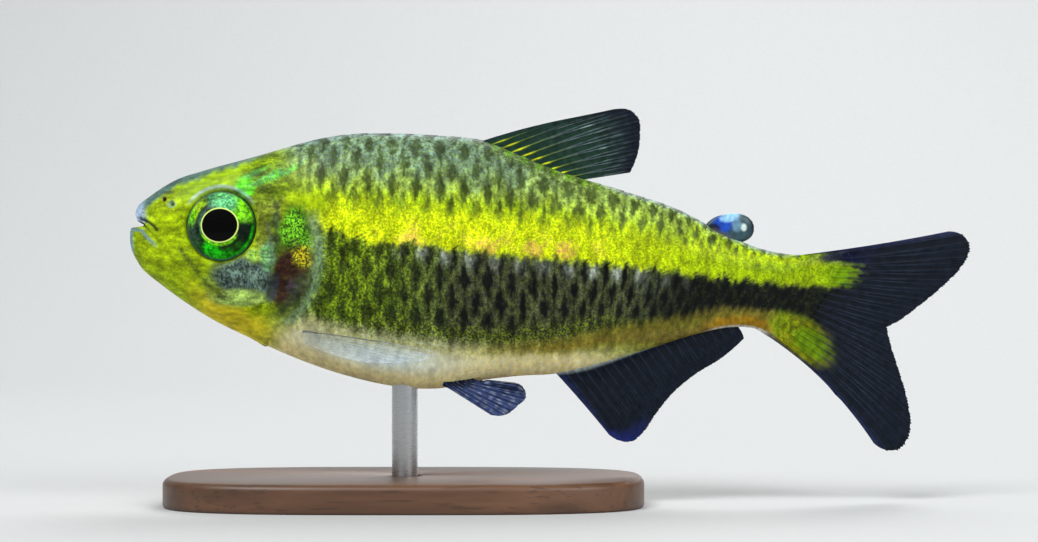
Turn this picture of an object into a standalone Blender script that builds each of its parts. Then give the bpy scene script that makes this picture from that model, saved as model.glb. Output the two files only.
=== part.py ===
"""Green-eyed moenkhausia, a small South American characin, as a life-size still model on a display stand.

Sizes are millimetres in the fish's own frame until mesh_object turns them into metres in the world. There
x runs from the tip of the lower jaw back to the tail, y to the fish's right, and z up from the middle of
its flank. The fish swims with its head to -X, and its tail swings a little to its right.
"""

import math
from collections import namedtuple

import bmesh
import bpy
import numpy as np

MM = 0.001
GAP = 0.3
ROD_X = 21.3
BASE_LENGTH, BASE_WIDTH, BASE_THICK = 37.0, 21.0, 2.2
LOWEST_TIP = 14.90
TIP_CLEARANCE = 1.65
MIDLINE_HEIGHT = BASE_THICK + TIP_CLEARANCE + LOWEST_TIP

# The body is a row of rings, each through one point of the back and one of the belly.
# wide is half the ring's width. roof and keel say how full its upper and lower halves are:
# 1 is an ellipse, less is boxier and more is a keel.
Ring = namedtuple("Ring", "back_x back_z belly_x belly_z wide roof keel")
RINGS = [
    Ring(0.36, 2.95, 0.36, 2.95, 0.00, 1.00, 1.00),  # where the lips meet
    Ring(0.48, 3.48, 0.10, 2.40, 0.66, 1.00, 1.00),
    Ring(0.66, 4.32, 0.08, 1.25, 1.12, 0.98, 0.98),  # lips
    Ring(1.62, 5.12, 0.74, -0.20, 1.68, 0.94, 0.96),
    Ring(3.45, 6.28, 2.70, -1.95, 2.34, 0.88, 1.00),  # nostrils
    Ring(5.85, 7.10, 5.85, -4.12, 2.92, 0.82, 1.05),
    Ring(9.90, 8.20, 9.70, -6.05, 3.55, 0.82, 1.05),  # behind the eye
    Ring(13.65, 9.30, 13.20, -7.58, 3.90, 0.90, 0.95),  # gill opening
    Ring(16.90, 9.88, 16.65, -8.76, 4.00, 0.98, 0.88),
    Ring(20.50, 9.95, 20.50, -9.62, 3.95, 1.02, 0.85),
    Ring(24.00, 9.78, 24.00, -9.79, 3.78, 1.06, 0.85),  # pelvic fins
    Ring(27.30, 9.42, 27.30, -9.15, 3.52, 1.10, 0.92),  # front of the dorsal fin
    Ring(29.90, 8.42, 30.25, -8.82, 3.25, 1.12, 1.05),
    Ring(33.30, 7.02, 32.80, -8.68, 2.98, 1.12, 1.15),  # vent
    Ring(37.95, 5.62, 36.05, -8.00, 2.55, 1.10, 1.20),
    Ring(42.60, 4.05, 40.30, -6.72, 2.08, 1.08, 1.15),
    Ring(46.50, 2.02, 44.20, -5.55, 1.65, 1.02, 1.05),
    Ring(49.45, 0.92, 46.65, -5.08, 1.35, 0.95, 0.95),
    Ring(52.15, 0.55, 48.65, -5.22, 1.08, 0.90, 0.90),  # root of the tail fin
]
WIDEST_ABOVE_MIDDLE = 0.10
BODY_SIDES = 44
STEPS_PER_RING = 3

# The swimming bend: everything behind BEND_FROM swings to the fish's right.
BEND_FROM = 26.0
BEND_RATE = 0.0030

# Lines in side view, as (x, z).
GILL_LINE = [(11.6, 10.5), (12.6, 7.2), (13.45, 5.1), (14.2, 3.6), (14.55, 1.7), (14.55, 0.0),
             (14.15, -1.8), (13.35, -3.3), (12.1, -4.6), (10.8, -5.6), (9.3, -7.2)]
GILL_COVER_EDGE = [(12.75, 5.35), (13.35, 4.85), (14.02, 3.55), (14.38, 1.70), (14.39, 0.0), (13.99, -1.75),
                   (13.22, -3.18), (12.05, -4.36), (11.05, -4.90), (10.55, -4.35), (10.85, -2.90),
                   (11.25, -0.50), (11.35, 1.70), (11.60, 4.00), (12.05, 4.95)]
UPPER_LIP_EDGE = [(-2.0, 3.14), (0.80, 3.12), (1.35, 2.78), (1.90, 2.12), (2.50, 1.22)]
LOWER_LIP_EDGE = [(-2.0, 2.72), (0.10, 2.70), (0.65, 2.66), (1.30, 2.22), (1.80, 1.58), (2.28, 0.95)]
LIP_CREASE = [(1.02, 3.72), (1.55, 3.40), (2.05, 2.95), (2.55, 2.42), (2.85, 1.95)]
JAW_SEAM = [(2.50, 1.22), (3.35, 0.10), (4.45, -1.30), (5.60, -3.20), (6.60, -5.80)]
VENT_LINE = [(35.9, 10.0), (31.9, -12.0)]

EYE_CENTRE = (7.34, 2.77)
EYE_RADIUS = 2.72
EYE_YAW = 0.35  # the share of the snout's taper that turns the eye forwards
EYE_HALF_DEPTH = 1.45
EYE_STANDS_OUT = 0.55
EYE_SIDES = 24
NOSTRILS = [((3.15, 4.95), 0.30), ((3.75, 4.66), 0.36)]
LIP_RADIUS = 0.28
UPPER_LIP_FRONT, LOWER_LIP_FRONT = 0.90, 0.36
CREASE_RADIUS = 0.10
GILL_COVER_THICK = 1.0
GILL_COVER_RAISED = 0.12

MEMBRANE = 0.26
RAY_RIDGE = 0.13
MEMBRANE_TIP = 0.19
RIDGE_FADE = 0.75  # how much of a ray's ridge is gone at its tip
ROOT_TAPER = 0.34  # the share of a fin over which its thick root thins out
SCALLOP = 0.02
LAID_FIN_RISE = 0.6  # how far a folded fin's tip lifts off the flank
FIN_EDGE_ANGLE = 60  # degrees over which an edge of a fin is drawn sharp

ROD_RADIUS = 1.0
SOCKET_DEPTH = 1.2
BASE_CHAMFER = 0.5
BASE_SQUARED = 0.62  # 1 is an ellipse, and less fills its corners

FISH_COLOURS = {
    "back": (0.42, 0.55, 0.12, 1.0),
    "head": (0.50, 0.56, 0.06, 1.0),
    "flank": (0.38, 0.46, 0.10, 1.0),
    "fin": (0.16, 0.17, 0.24, 1.0),
    "adipose": (0.30, 0.38, 0.52, 1.0),
    "eye": (0.10, 0.62, 0.16, 1.0),
}


def clear_scene():
    for old in list(bpy.data.objects):
        bpy.data.objects.remove(old, do_unlink=True)


def smooth_rows(rows, knots, at):
    """A smooth curve through rows of numbers, each at its knot, read at the places in at."""
    rows, knots, at = np.asarray(rows, float), np.asarray(knots, float), np.asarray(at, float)
    step = np.diff(knots)
    slope = np.diff(rows, axis=0) / step[:, None]
    inner = (slope[:-1] * step[1:, None] + slope[1:] * step[:-1, None]) / (step[1:] + step[:-1])[:, None]
    inner = inner if len(inner) else slope
    tangent = np.vstack([2 * slope[0] - inner[0], inner, 2 * slope[-1] - inner[-1]])[:len(knots)]
    span = np.clip(np.searchsorted(knots, at, side="right") - 1, 0, len(step) - 1)
    t = ((at - knots[span]) / step[span])[:, None]
    width = step[span][:, None]
    return ((2 * t**3 - 3 * t**2 + 1) * rows[span] + (t**3 - 2 * t**2 + t) * width * tangent[span]
            + (3 * t**2 - 2 * t**3) * rows[span + 1] + (t**3 - t**2) * width * tangent[span + 1])


def smooth_line(points, count):
    """count points spaced along a smooth curve through the given ones."""
    points = np.asarray(points, float)
    knots = np.concatenate([[0], np.cumsum(np.linalg.norm(np.diff(points, axis=0), axis=1))])
    return smooth_rows(points, knots, np.linspace(0, knots[-1], count))


def ring_knots():
    """Where each ring stands along the body, by the way between the rings' middles and edges."""
    table = np.array(RINGS)
    steps = np.abs(np.diff(table[:, :5], axis=0))
    gaps = np.hypot(steps[:, [0, 2]].sum(1) / 2, steps[:, [1, 3]].sum(1) / 2)
    return np.concatenate([[0], np.cumsum(gaps)])


KNOTS = ring_knots()


def body_point(along, turn):
    """The skin at a place along the body, and a turn round it from the back at 0 to the belly at pi."""
    back_x, back_z, belly_x, belly_z, wide, roof, keel = smooth_rows(RINGS, KNOTS, along).T
    height = np.cos(turn) + WIDEST_ABOVE_MIDDLE * np.sin(turn) ** 2
    share = (1 + height) / 2
    fullness = keel + (roof - keel) * (1 + np.cos(turn)) / 2
    side = np.sign(np.sin(turn)) * np.abs(np.sin(turn)) ** fullness
    x = belly_x + (back_x - belly_x) * share
    z = belly_z + (back_z - belly_z) * share
    return np.stack([x, wide * side, z], axis=-1)


def body_rings(grow=0.0, sides=BODY_SIDES, steps=STEPS_PER_RING):
    """The body's rings as a grid of points, moved out along the skin's normals by grow."""
    at = np.concatenate([np.linspace(a, b, steps, endpoint=False) for a, b in zip(KNOTS[:-1], KNOTS[1:])])
    at = np.concatenate([at[1:], KNOTS[-1:]])
    turns = 2 * math.pi * np.arange(sides) / sides
    along, turn = np.meshgrid(at, turns, indexing="ij")
    grid = body_point(along.ravel(), turn.ravel()).reshape(len(at), sides, 3)
    if grow:
        grid = grid + grow * ring_normals(grid)
    return grid


def ring_normals(grid):
    lengthways = np.gradient(grid, axis=0)
    around = np.roll(grid, -1, axis=1) - np.roll(grid, 1, axis=1)
    normal = np.cross(lengthways, around)
    return normal / np.maximum(np.linalg.norm(normal, axis=2, keepdims=True), 1e-9)


def place_on_body(x, z):
    """The (along, turn) of the skin's point on the fish's right at a place in side view."""
    low, high = 0.0, KNOTS[-1]
    for _ in range(50):
        middle = (low + high) / 2
        back_x, back_z, belly_x, belly_z = smooth_rows(RINGS, KNOTS, [middle])[0][:4]
        share = (z - belly_z) / max(back_z - belly_z, 1e-6)
        if x > belly_x + (back_x - belly_x) * share:
            low = middle
        else:
            high = middle
    height = min(max(2 * share - 1, -1.0), 1.0)
    lift = WIDEST_ABOVE_MIDDLE
    root = math.sqrt(max(1 - 4 * lift * (height - lift), 0))
    return middle, math.acos(min(max((1 - root) / (2 * lift), -1.0), 1.0))


def on_skin(x, z, side, out=0.0):
    """The skin's point at a place in side view, with its normal. side is -1 on the fish's left."""
    along, turn = place_on_body(x, z)
    step = 0.02
    near = body_point(np.array([along, along - step, along + step, along, along]),
                      np.array([turn, turn, turn, turn - step, turn + step]))
    normal = np.cross(near[2] - near[1], near[4] - near[3])
    normal /= np.linalg.norm(normal)
    point = near[0] + out * normal
    return point * (1, side, 1), normal * (1, side, 1)


def beside_skin(x, z, side, clear):
    """The y of a point straight out from the flank, clear of the skin by clear."""
    point, normal = on_skin(x, z, side)
    return point[1] + side * clear / max(abs(normal[1]), 0.4)


def edge_z(x, belly=False):
    """The height of the back, or of the belly, at x."""
    at = np.linspace(KNOTS[1], KNOTS[-1], 400)
    table = smooth_rows(RINGS, KNOTS, at)
    return float(np.interp(x, table[:, 2], table[:, 3]) if belly else np.interp(x, table[:, 0], table[:, 1]))


def posed(points):
    """Adds the swimming bend."""
    points = np.array(points, float)
    behind = np.maximum(points[:, 0] - BEND_FROM, 0)
    points[:, 1] += BEND_RATE * behind**2
    return points


def material(name, colour, roughness, metallic=0.0):
    made = bpy.data.materials.new(name)
    made.use_nodes = True
    shader = made.node_tree.nodes["Principled BSDF"]
    shader.inputs["Base Color"].default_value = colour
    shader.inputs["Roughness"].default_value = roughness
    shader.inputs["Metallic"].default_value = metallic
    return made


def mesh_object(name, points, faces, finish=None, swims=True):
    """An object from points in the fish's frame. Its faces are turned to point out."""
    points = posed(points) if swims else np.array(points, float)
    points = (points + (-ROD_X, 0, MIDLINE_HEIGHT)) * MM
    mesh = bpy.data.meshes.new(name)
    mesh.from_pydata([tuple(p) for p in points], [], [tuple(f) for f in faces])
    work = bmesh.new()
    work.from_mesh(mesh)
    bmesh.ops.recalc_face_normals(work, faces=work.faces)
    work.to_mesh(mesh)
    work.free()
    made = bpy.data.objects.new(name, mesh)
    bpy.context.scene.collection.objects.link(made)
    if finish:
        mesh.materials.append(finish)
    return made


def ring_faces(rings, sides):
    """Quads between rings, with a flat cap on the last ring."""
    at = np.arange(rings * sides).reshape(rings, sides)
    faces = [(at[i, j], at[i + 1, j], at[i + 1, (j + 1) % sides], at[i, (j + 1) % sides])
             for i in range(rings - 1) for j in range(sides)]
    faces.append(tuple(at[-1]))
    return faces


def body_mesh(name, grow=0.0):
    """The whole body from lips to tail root, grown or shrunk by grow."""
    grid = body_rings(grow)
    rings, sides = grid.shape[:2]
    grid[-1] += tail_end_normal() * grow
    nose = body_point(np.array([0.0]), np.array([0.0]))[0] - (grow, 0, 0)
    faces = ring_faces(rings, sides)
    faces += [(rings * sides, (j + 1) % sides, j) for j in range(sides)]
    return mesh_object(name, np.vstack([grid.reshape(-1, 3), nose]), faces)


def tail_end_normal():
    """The way the flat end of the tail faces, in side view."""
    last = RINGS[-1]
    run = np.array([last.back_x - last.belly_x, 0, last.back_z - last.belly_z])
    return np.array([run[2], 0, -run[0]]) / np.linalg.norm(run)


def beside(line, distance):
    """A side-view line moved sideways by distance, to its right when it runs down."""
    line = np.asarray(line, float)
    run = np.gradient(line, axis=0)
    normal = np.stack([-run[:, 1], run[:, 0]], axis=1)
    return line + distance * normal / np.linalg.norm(normal, axis=1, keepdims=True)


def prism(name, outline, low_y=-14.0, high_y=14.0):
    """A side-view outline, run from low_y to high_y."""
    count = len(outline)
    points = [(x, y, z) for y in (low_y, high_y) for x, z in outline]
    faces = [tuple(range(count)), tuple(range(2 * count - 1, count - 1, -1))]
    faces += [(i, count + i, count + (i + 1) % count, (i + 1) % count) for i in range(count)]
    return mesh_object(name, points, faces, swims=False)


def combine(piece, other, operation):
    """Applies one Boolean to piece, and removes the other object."""
    tool = piece.modifiers.new("combine", "BOOLEAN")
    tool.operation = operation
    tool.solver = "EXACT"
    tool.object = other
    apply_modifiers(piece)
    bpy.data.objects.remove(other, do_unlink=True)


def fuse(piece, others):
    """Joins closed pieces into one by a Boolean union, and removes them."""
    group = bpy.data.collections.new("fused pieces")
    bpy.context.scene.collection.children.link(group)
    for other in others:
        bpy.context.scene.collection.objects.unlink(other)
        group.objects.link(other)
    tool = piece.modifiers.new("fuse", "BOOLEAN")
    tool.operation = "UNION"
    tool.operand_type = "COLLECTION"
    tool.collection = group
    tool.solver = "EXACT"
    apply_modifiers(piece)
    for other in others:
        bpy.data.objects.remove(other, do_unlink=True)
    bpy.data.collections.remove(group)


def apply_modifiers(piece):
    graph = bpy.context.evaluated_depsgraph_get()
    mesh = bpy.data.meshes.new_from_object(piece.evaluated_get(graph))
    piece.modifiers.clear()
    piece.data = mesh


def keep_largest(piece):
    """Drops every closed surface but the largest, such as the lining of a sealed hollow."""
    work = bmesh.new()
    work.from_mesh(piece.data)
    unseen, shells = set(work.verts), []
    while unseen:
        stack, shell = [unseen.pop()], []
        while stack:
            vert = stack.pop()
            shell.append(vert)
            for edge in vert.link_edges:
                other = edge.other_vert(vert)
                if other in unseen:
                    unseen.remove(other)
                    stack.append(other)
        shells.append(shell)
    shells.sort(key=len)
    bmesh.ops.delete(work, geom=[v for shell in shells[:-1] for v in shell], context="VERTS")
    bmesh.ops.dissolve_degenerate(work, edges=work.edges, dist=2e-6)
    work.to_mesh(piece.data)
    work.free()


def smooth_shading(piece, sharp_degrees=40):
    piece.data.shade_smooth()
    piece.data.set_sharp_from_angle(angle=math.radians(sharp_degrees))


def body_part(name, outline, finish, grow=0.0):
    """The stretch of the body inside a side-view outline."""
    piece = body_mesh(name, grow)
    combine(piece, prism("region", outline), "INTERSECT")
    return finished(piece, finish)


def torso(finish):
    front = beside(smooth_line(GILL_LINE, 24), GAP / 2)
    rear = beside(VENT_LINE, -GAP / 2)
    return body_part("torso", [*front, *rear[::-1]], finish)


def tail(finish):
    front = beside(VENT_LINE, GAP / 2)
    return body_part("tail", [*front, (60, -20), (60, 20)], finish)


def closed_curve(points, count, grow=0.0):
    """count points round a smooth closed side-view curve, moved outwards by grow."""
    wrap = 3
    points = np.asarray([*points[-wrap:], *points, *points[:wrap + 1]], float)
    knots = np.concatenate([[0], np.cumsum(np.linalg.norm(np.diff(points, axis=0), axis=1))])
    curve = smooth_rows(points, knots, np.linspace(knots[wrap], knots[-wrap - 1], count, endpoint=False))
    run = np.roll(curve, -1, axis=0) - np.roll(curve, 1, axis=0)
    run /= np.linalg.norm(run, axis=1, keepdims=True)
    return curve + grow * np.stack([-run[:, 1], run[:, 0]], axis=1)


def gill_cover(side, name, finish):
    reach = sorted((0.2 * side, 14.0 * side))
    piece = body_mesh(name, GILL_COVER_RAISED)
    combine(piece, prism("region", closed_curve(GILL_COVER_EDGE, 36), *reach), "INTERSECT")
    combine(piece, body_mesh("core", -GILL_COVER_THICK), "DIFFERENCE")
    return finished(piece, finish)


def jaw_outline():
    """The lower jaw in side view, under the mouth and in front of the jaw's seam."""
    seam = beside(smooth_line(JAW_SEAM, 8), -GAP / 2)
    return [*LOWER_LIP_EDGE, *seam[1:], (-2.0, -8.0)]


def above_jaw_outline():
    """The head in side view, over the mouth and the jaw's seam, as far back as the gill opening."""
    seam = beside(smooth_line(JAW_SEAM, 8), GAP / 2)
    gill = beside(smooth_line(GILL_LINE, 24), -GAP / 2)
    return [*UPPER_LIP_EDGE, *seam[1:], *gill[::-1], (-2.0, 14.0)]


def tube(name, path, thick, sides):
    """A round bar along a path, with its radius at each of the path's points."""
    run = np.gradient(path, axis=0)
    run /= np.linalg.norm(run, axis=1, keepdims=True)
    up = np.cross(run, np.cross([0, 0, 1.0], run))
    up /= np.linalg.norm(up, axis=1, keepdims=True)
    out = np.cross(run, up)
    turns = 2 * math.pi * np.arange(sides) / sides
    points = (path[:, None] + thick[:, None, None]
              * (np.cos(turns)[None, :, None] * up[:, None] + np.sin(turns)[None, :, None] * out[:, None]))
    faces = ring_faces(len(path), sides) + [tuple(range(sides))]
    return mesh_object(name, points.reshape(-1, 3), faces)


def lip(name, edge, lift, front_x):
    """A round lip that follows the edge of the mouth from one corner round the snout to the other."""
    line = smooth_line(np.array(edge[1:]) + (0, lift), 7)
    half = [on_skin(x, z, 1, -0.4 * LIP_RADIUS)[0] for x, z in line[::-1]]
    front = (front_x, 0, line[0][1])
    path = smooth_line([*half, front, *[p * (1, -1, 1) for p in half[::-1]]], 25)
    swell = 0.55 + 0.45 * np.sin(np.linspace(0, math.pi, len(path)))
    return tube(name, path, LIP_RADIUS * swell, 8)


def crease(side):
    """A cutter for the fold between the snout's skin and the upper jaw bone."""
    path = np.array([on_skin(x, z, side, 0.02)[0] for x, z in smooth_line(LIP_CREASE, 7)])
    swell = np.sin(np.linspace(0.35, math.pi - 0.35, len(path)))
    return tube("crease", path, CREASE_RADIUS * swell, 6)


def finished(piece, finish):
    """Tidies a piece cut from the body, and gives it its own finish."""
    keep_largest(piece)
    piece.data.materials.clear()
    piece.data.materials.append(finish)
    smooth_shading(piece)
    return piece


def lower_jaw(finish):
    piece = body_mesh("lower_jaw")
    fuse(piece, [lip("lower lip", LOWER_LIP_EDGE, -LIP_RADIUS, LOWER_LIP_FRONT)])
    combine(piece, prism("region", jaw_outline()), "INTERSECT")
    return finished(piece, finish)


def lathe(name, profile, centre, axis, sides, finish=None):
    """A round piece turned about axis.

    Each profile point is (radius, way along the axis), and the first and last are on the axis.
    """
    axis = np.asarray(axis, float) / np.linalg.norm(axis)
    across = np.cross(axis, [0, 0, 1.0])
    across /= np.linalg.norm(across)
    up = np.cross(across, axis)
    turns = 2 * math.pi * np.arange(sides) / sides
    around = np.cos(turns)[:, None] * across + np.sin(turns)[:, None] * up
    rings = [np.asarray(centre) + axis * along + radius * around for radius, along in profile[1:-1]]
    ends = [np.asarray(centre) + axis * profile[0][1], np.asarray(centre) + axis * profile[-1][1]]
    count = len(rings)
    faces = ring_faces(count, sides)[:-1]
    first, last = count * sides, count * sides + 1
    faces += [(first, (j + 1) % sides, j) for j in range(sides)]
    faces += [(last, (count - 1) * sides + j, (count - 1) * sides + (j + 1) % sides) for j in range(sides)]
    return mesh_object(name, np.vstack([*rings, *ends]), faces, finish)


def eye_profile(grow=0.0, rows=12):
    turns = np.linspace(0, math.pi, rows + 1)
    return [((EYE_RADIUS + grow) * math.sin(a), (EYE_HALF_DEPTH + grow) * math.cos(a)) for a in turns]


def eyeball(side, name, finish=None, grow=0.0):
    """A flattened ball that looks out of the skin, more squarely to the side than the skin faces there."""
    surface, normal = on_skin(*EYE_CENTRE, side)
    gaze = normal * (EYE_YAW, 1, 1)
    gaze /= np.linalg.norm(gaze)
    centre = surface - gaze * (EYE_HALF_DEPTH - EYE_STANDS_OUT)
    piece = lathe(name, eye_profile(grow), centre, gaze, EYE_SIDES, finish)
    smooth_shading(piece)
    return piece


def head(finish):
    piece = body_mesh("head")
    fuse(piece, [lip("upper lip", UPPER_LIP_EDGE, LIP_RADIUS, UPPER_LIP_FRONT)])
    combine(piece, prism("region", above_jaw_outline()), "INTERSECT")
    for side in (-1, 1):
        combine(piece, eyeball(side, "socket", grow=GAP), "DIFFERENCE")
        reach = sorted((0.2 * side, 14.0 * side))
        recess = prism("recess", closed_curve(GILL_COVER_EDGE, 36, GAP), *reach)
        combine(recess, body_mesh("core", -GILL_COVER_THICK - GAP), "DIFFERENCE")
        combine(piece, recess, "DIFFERENCE")
        for place, radius in NOSTRILS:
            surface, normal = on_skin(*place, side)
            pit = [(radius * math.sin(a), radius * math.cos(a)) for a in np.linspace(0, math.pi, 7)]
            combine(piece, lathe("nostril", pit, surface, normal, 10), "DIFFERENCE")
        combine(piece, crease(side), "DIFFERENCE")
    return finished(piece, finish)


def fin(name, root, tips, rays, rows, bow, finish, thick_root=None, sway=None, lay=None, ridge=RAY_RIDGE,
        scallop=SCALLOP, membrane=MEMBRANE, tip_membrane=MEMBRANE_TIP):
    """A fin whose rays fan from the root line to the tip line, as ridges on both faces of its membrane.

    bow bends the rays in side view, from the first ray to the last. thick_root gives half the root's
    thickness along the fin, which thins out over the first third. sway moves the fin sideways, and lay
    gives its y outright.
    """
    columns = 2 * rays - 1
    share = np.linspace(0, 1, columns)
    is_ray = (np.arange(columns) % 2 == 0).astype(float)
    root, tips = smooth_line(root, columns), smooth_line(tips, columns)
    if root.shape[1] == 2:
        root = np.insert(root, 1, 0.0, axis=1)
        tips = np.insert(tips, 1, 0.0, axis=1)
    tips = tips - (scallop * (1 - is_ray))[:, None] * (tips - root)
    out = np.linspace(0, 1, rows)
    bend = np.linspace(bow[0], bow[1], columns)
    run = tips - root
    across = np.stack([-run[:, 2], np.zeros(columns), run[:, 0]], axis=1)
    across /= np.linalg.norm(across, axis=1, keepdims=True)
    arc = 4 * out * (1 - out)
    grid = root[:, None] + run[:, None] * out[None, :, None]
    grid = grid + (bend[:, None] * arc[None])[..., None] * across[:, None]
    if sway is not None:
        grid[..., 1] += sway(share[:, None], out[None])
    if lay is not None:
        grid[..., 1] = [[lay(x, z, way) for (x, _, z), way in zip(ray, out)] for ray in grid]
    normal = np.cross(np.gradient(grid, axis=1), np.gradient(grid, axis=0))
    normal /= np.linalg.norm(normal, axis=2, keepdims=True)
    half = membrane + (tip_membrane - membrane) * out[None] ** 2
    half = half + ridge * is_ray[:, None] * (1 - RIDGE_FADE * out[None] ** 2)
    if thick_root is not None:
        extra = np.maximum(np.interp(share, np.linspace(0, 1, len(thick_root)), thick_root) - membrane, 0)
        half = half + extra[:, None] * np.clip(1 - out / ROOT_TAPER, 0, 1)[None] ** 2
    front = grid + half[..., None] * normal
    back = grid - half[..., None] * normal
    points = np.concatenate([front.reshape(-1, 3), back.reshape(-1, 3)])
    return mesh_object(name, points, plate_faces(columns, rows), finish)


def plate_faces(columns, rows):
    """Triangles of a plate with two faces split alike, and of the strip round its edge."""
    size = columns * rows
    faces = []
    for i in range(columns - 1):
        for j in range(rows - 1):
            a, b, c, d = i * rows + j, (i + 1) * rows + j, (i + 1) * rows + j + 1, i * rows + j + 1
            faces += [(a, b, c), (a, c, d), (size + a, size + c, size + b), (size + a, size + d, size + c)]
    rim = [i * rows for i in range(columns)]
    rim += [(columns - 1) * rows + j for j in range(1, rows)]
    rim += [i * rows + rows - 1 for i in range(columns - 2, -1, -1)]
    rim += list(range(rows - 2, 0, -1))
    for a, b in zip(rim, rim[1:] + rim[:1]):
        faces += [(b, a, size + a), (b, size + a, size + b)]
    return faces


def along_back(first_x, last_x, count=5, belly=False):
    """A fin's root line, GAP clear of the back or of the belly."""
    lift = -GAP if belly else GAP
    return [(x, edge_z(x, belly) + lift) for x in np.linspace(first_x, last_x, count)]


def dorsal_fin(finish):
    tips = [(37.9, 11.90), (38.9, 11.62), (39.6, 10.85), (39.55, 9.3), (39.2, 8.1), (38.8, 6.95)]
    piece = fin("dorsal_fin", along_back(27.6, 34.5), tips, 11, 8, (-0.12, 0.0), finish,
                thick_root=[0.3, 0.55, 0.55, 0.5, 0.3])
    smooth_shading(piece, FIN_EDGE_ANGLE)


def anal_fin(finish):
    tips = [(37.6, -13.75), (38.6, -14.0), (39.5, -13.65), (40.6, -12.05), (42.0, -10.25), (43.9, -8.75),
            (46.0, -7.45), (47.7, -5.95)]
    piece = fin("anal_fin", along_back(32.75, 46.9, 7, belly=True), tips, 21, 6, (0.05, 0.12), finish,
                thick_root=[0.4, 0.6, 0.55, 0.5, 0.45, 0.35, 0.3],
                sway=lambda share, out: 0.35 * out**2 * np.sin(3 * share))
    smooth_shading(piece, FIN_EDGE_ANGLE)


def adipose_fin(finish):
    root = [(45.0, edge_z(45.0) + GAP), (45.9, edge_z(45.9) + GAP), (46.8, edge_z(46.8) + GAP)]
    tips = [(46.1, 3.62), (47.2, 3.78), (48.1, 3.45), (48.55, 2.75), (48.3, 2.12), (47.6, 1.95)]
    piece = fin("adipose_fin", root, tips, 6, 7, (0.0, 0.0), finish, ridge=0.0, scallop=0.0,
                membrane=0.42, tip_membrane=0.25)
    smooth_shading(piece, FIN_EDGE_ANGLE)


def tail_fin_lobes(finish):
    """The forked tail fin, parted into its two lobes at the fork."""
    last = RINGS[-1]
    off = tail_end_normal()[[0, 2]] * GAP
    top = np.array([last.back_x, last.back_z]) + off
    bottom = np.array([last.belly_x, last.belly_z]) + off
    middle = (top + bottom) / 2
    clear = (top - bottom) / np.linalg.norm(top - bottom) * GAP / 2
    thick = [0.3, 0.85, 1.0, last.wide]
    upper = fin("tail_fin_upper_lobe", [top, middle + clear],
                [(65.2, 2.30), (65.85, 1.85), (65.95, 1.1), (65.2, -0.5), (64.0, -1.65), (61.7, -3.5),
                 (59.7, -4.75), (59.1, -5.0)], 11, 9, (-0.10, 0.0), finish, thick_root=thick,
                sway=lambda share, out: 0.5 * out**2 * (1 - share))
    lower = fin("tail_fin_lower_lobe", [bottom, middle - clear],
                [(58.9, -14.85), (59.9, -14.85), (60.7, -14.2), (61.05, -12.9), (60.8, -11.1), (59.95, -8.3),
                 (59.35, -6.95), (58.95, -5.3)], 11, 9, (0.75, 0.0), finish, thick_root=thick,
                sway=lambda share, out: -0.45 * out**2 * (1 - share))
    smooth_shading(upper, FIN_EDGE_ANGLE)
    smooth_shading(lower, FIN_EDGE_ANGLE)


def pectoral_fin(side, name, finish):
    """Folded back along the lower flank, its leading ray uppermost."""
    root = [(13.75, -5.35), (13.80, -5.75), (13.85, -6.15)]
    tips = [(23.6, -6.80), (23.9, -7.10), (23.2, -7.45), (21.4, -7.70), (19.2, -7.75), (17.3, -7.45)]
    clear = GAP + MEMBRANE + RAY_RIDGE
    piece = fin(name, root, tips, 10, 7, (0.10, -0.15), finish,
                lay=lambda x, z, out: beside_skin(x, z, side, clear + LAID_FIN_RISE * out**2))
    smooth_shading(piece, FIN_EDGE_ANGLE)


def pelvic_fin(side, name, finish):
    """Held half spread under the belly."""
    places = [(24.3, -9.35), (25.3, -9.30), (26.5, -9.10)]
    clear = GAP + MEMBRANE + RAY_RIDGE
    root = [on_skin(x, z, side, clear)[0] for x, z in places]
    tips = [(28.0, 2.3 * side, -11.75), (29.2, 2.5 * side, -11.7), (30.1, 2.6 * side, -11.0),
            (30.7, 2.7 * side, -10.35), (30.5, 2.75 * side, -9.85), (29.6, 2.85 * side, -9.5)]
    piece = fin(name, root, tips, 8, 6, (0.0, 0.0), finish)
    smooth_shading(piece, FIN_EDGE_ANGLE)


def base_outline(shrink, count=48):
    """A long plate with well-rounded ends: a squared ellipse."""
    turns = 2 * math.pi * np.arange(count) / count
    x = (BASE_LENGTH / 2 - shrink) * np.sign(np.cos(turns)) * np.abs(np.cos(turns)) ** BASE_SQUARED
    y = (BASE_WIDTH / 2 - shrink) * np.sign(np.sin(turns)) * np.abs(np.sin(turns)) ** BASE_SQUARED
    return x + ROD_X, y


def stand_base(finish):
    floor = -MIDLINE_HEIGHT
    levels = [(BASE_CHAMFER / 2, floor), (0.0, floor + BASE_CHAMFER / 2),
              (0.0, floor + BASE_THICK - BASE_CHAMFER), (BASE_CHAMFER, floor + BASE_THICK)]
    rings = []
    for shrink, z in levels:
        x, y = base_outline(shrink)
        rings.append(np.stack([x, y, np.full(len(x), z)], axis=1))
    sides = len(rings[0])
    faces = ring_faces(len(rings), sides) + [tuple(range(sides))]
    piece = mesh_object("stand_base", np.concatenate(rings), faces, finish, swims=False)
    top = floor + BASE_THICK
    combine(piece, upright("socket", ROD_RADIUS + GAP, top - SOCKET_DEPTH, top + 1.0), "DIFFERENCE")
    keep_largest(piece)
    smooth_shading(piece)


def upright(name, radius, low, high, sides=20, finish=None):
    """A plain round bar on the rod's axis."""
    turns = 2 * math.pi * np.arange(sides) / sides
    x, y = ROD_X + radius * np.cos(turns), radius * np.sin(turns)
    points = np.concatenate([np.stack([x, y, np.full(sides, z)], axis=1) for z in (low, high)])
    return mesh_object(name, points, ring_faces(2, sides) + [tuple(range(sides))], finish, swims=False)


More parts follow.
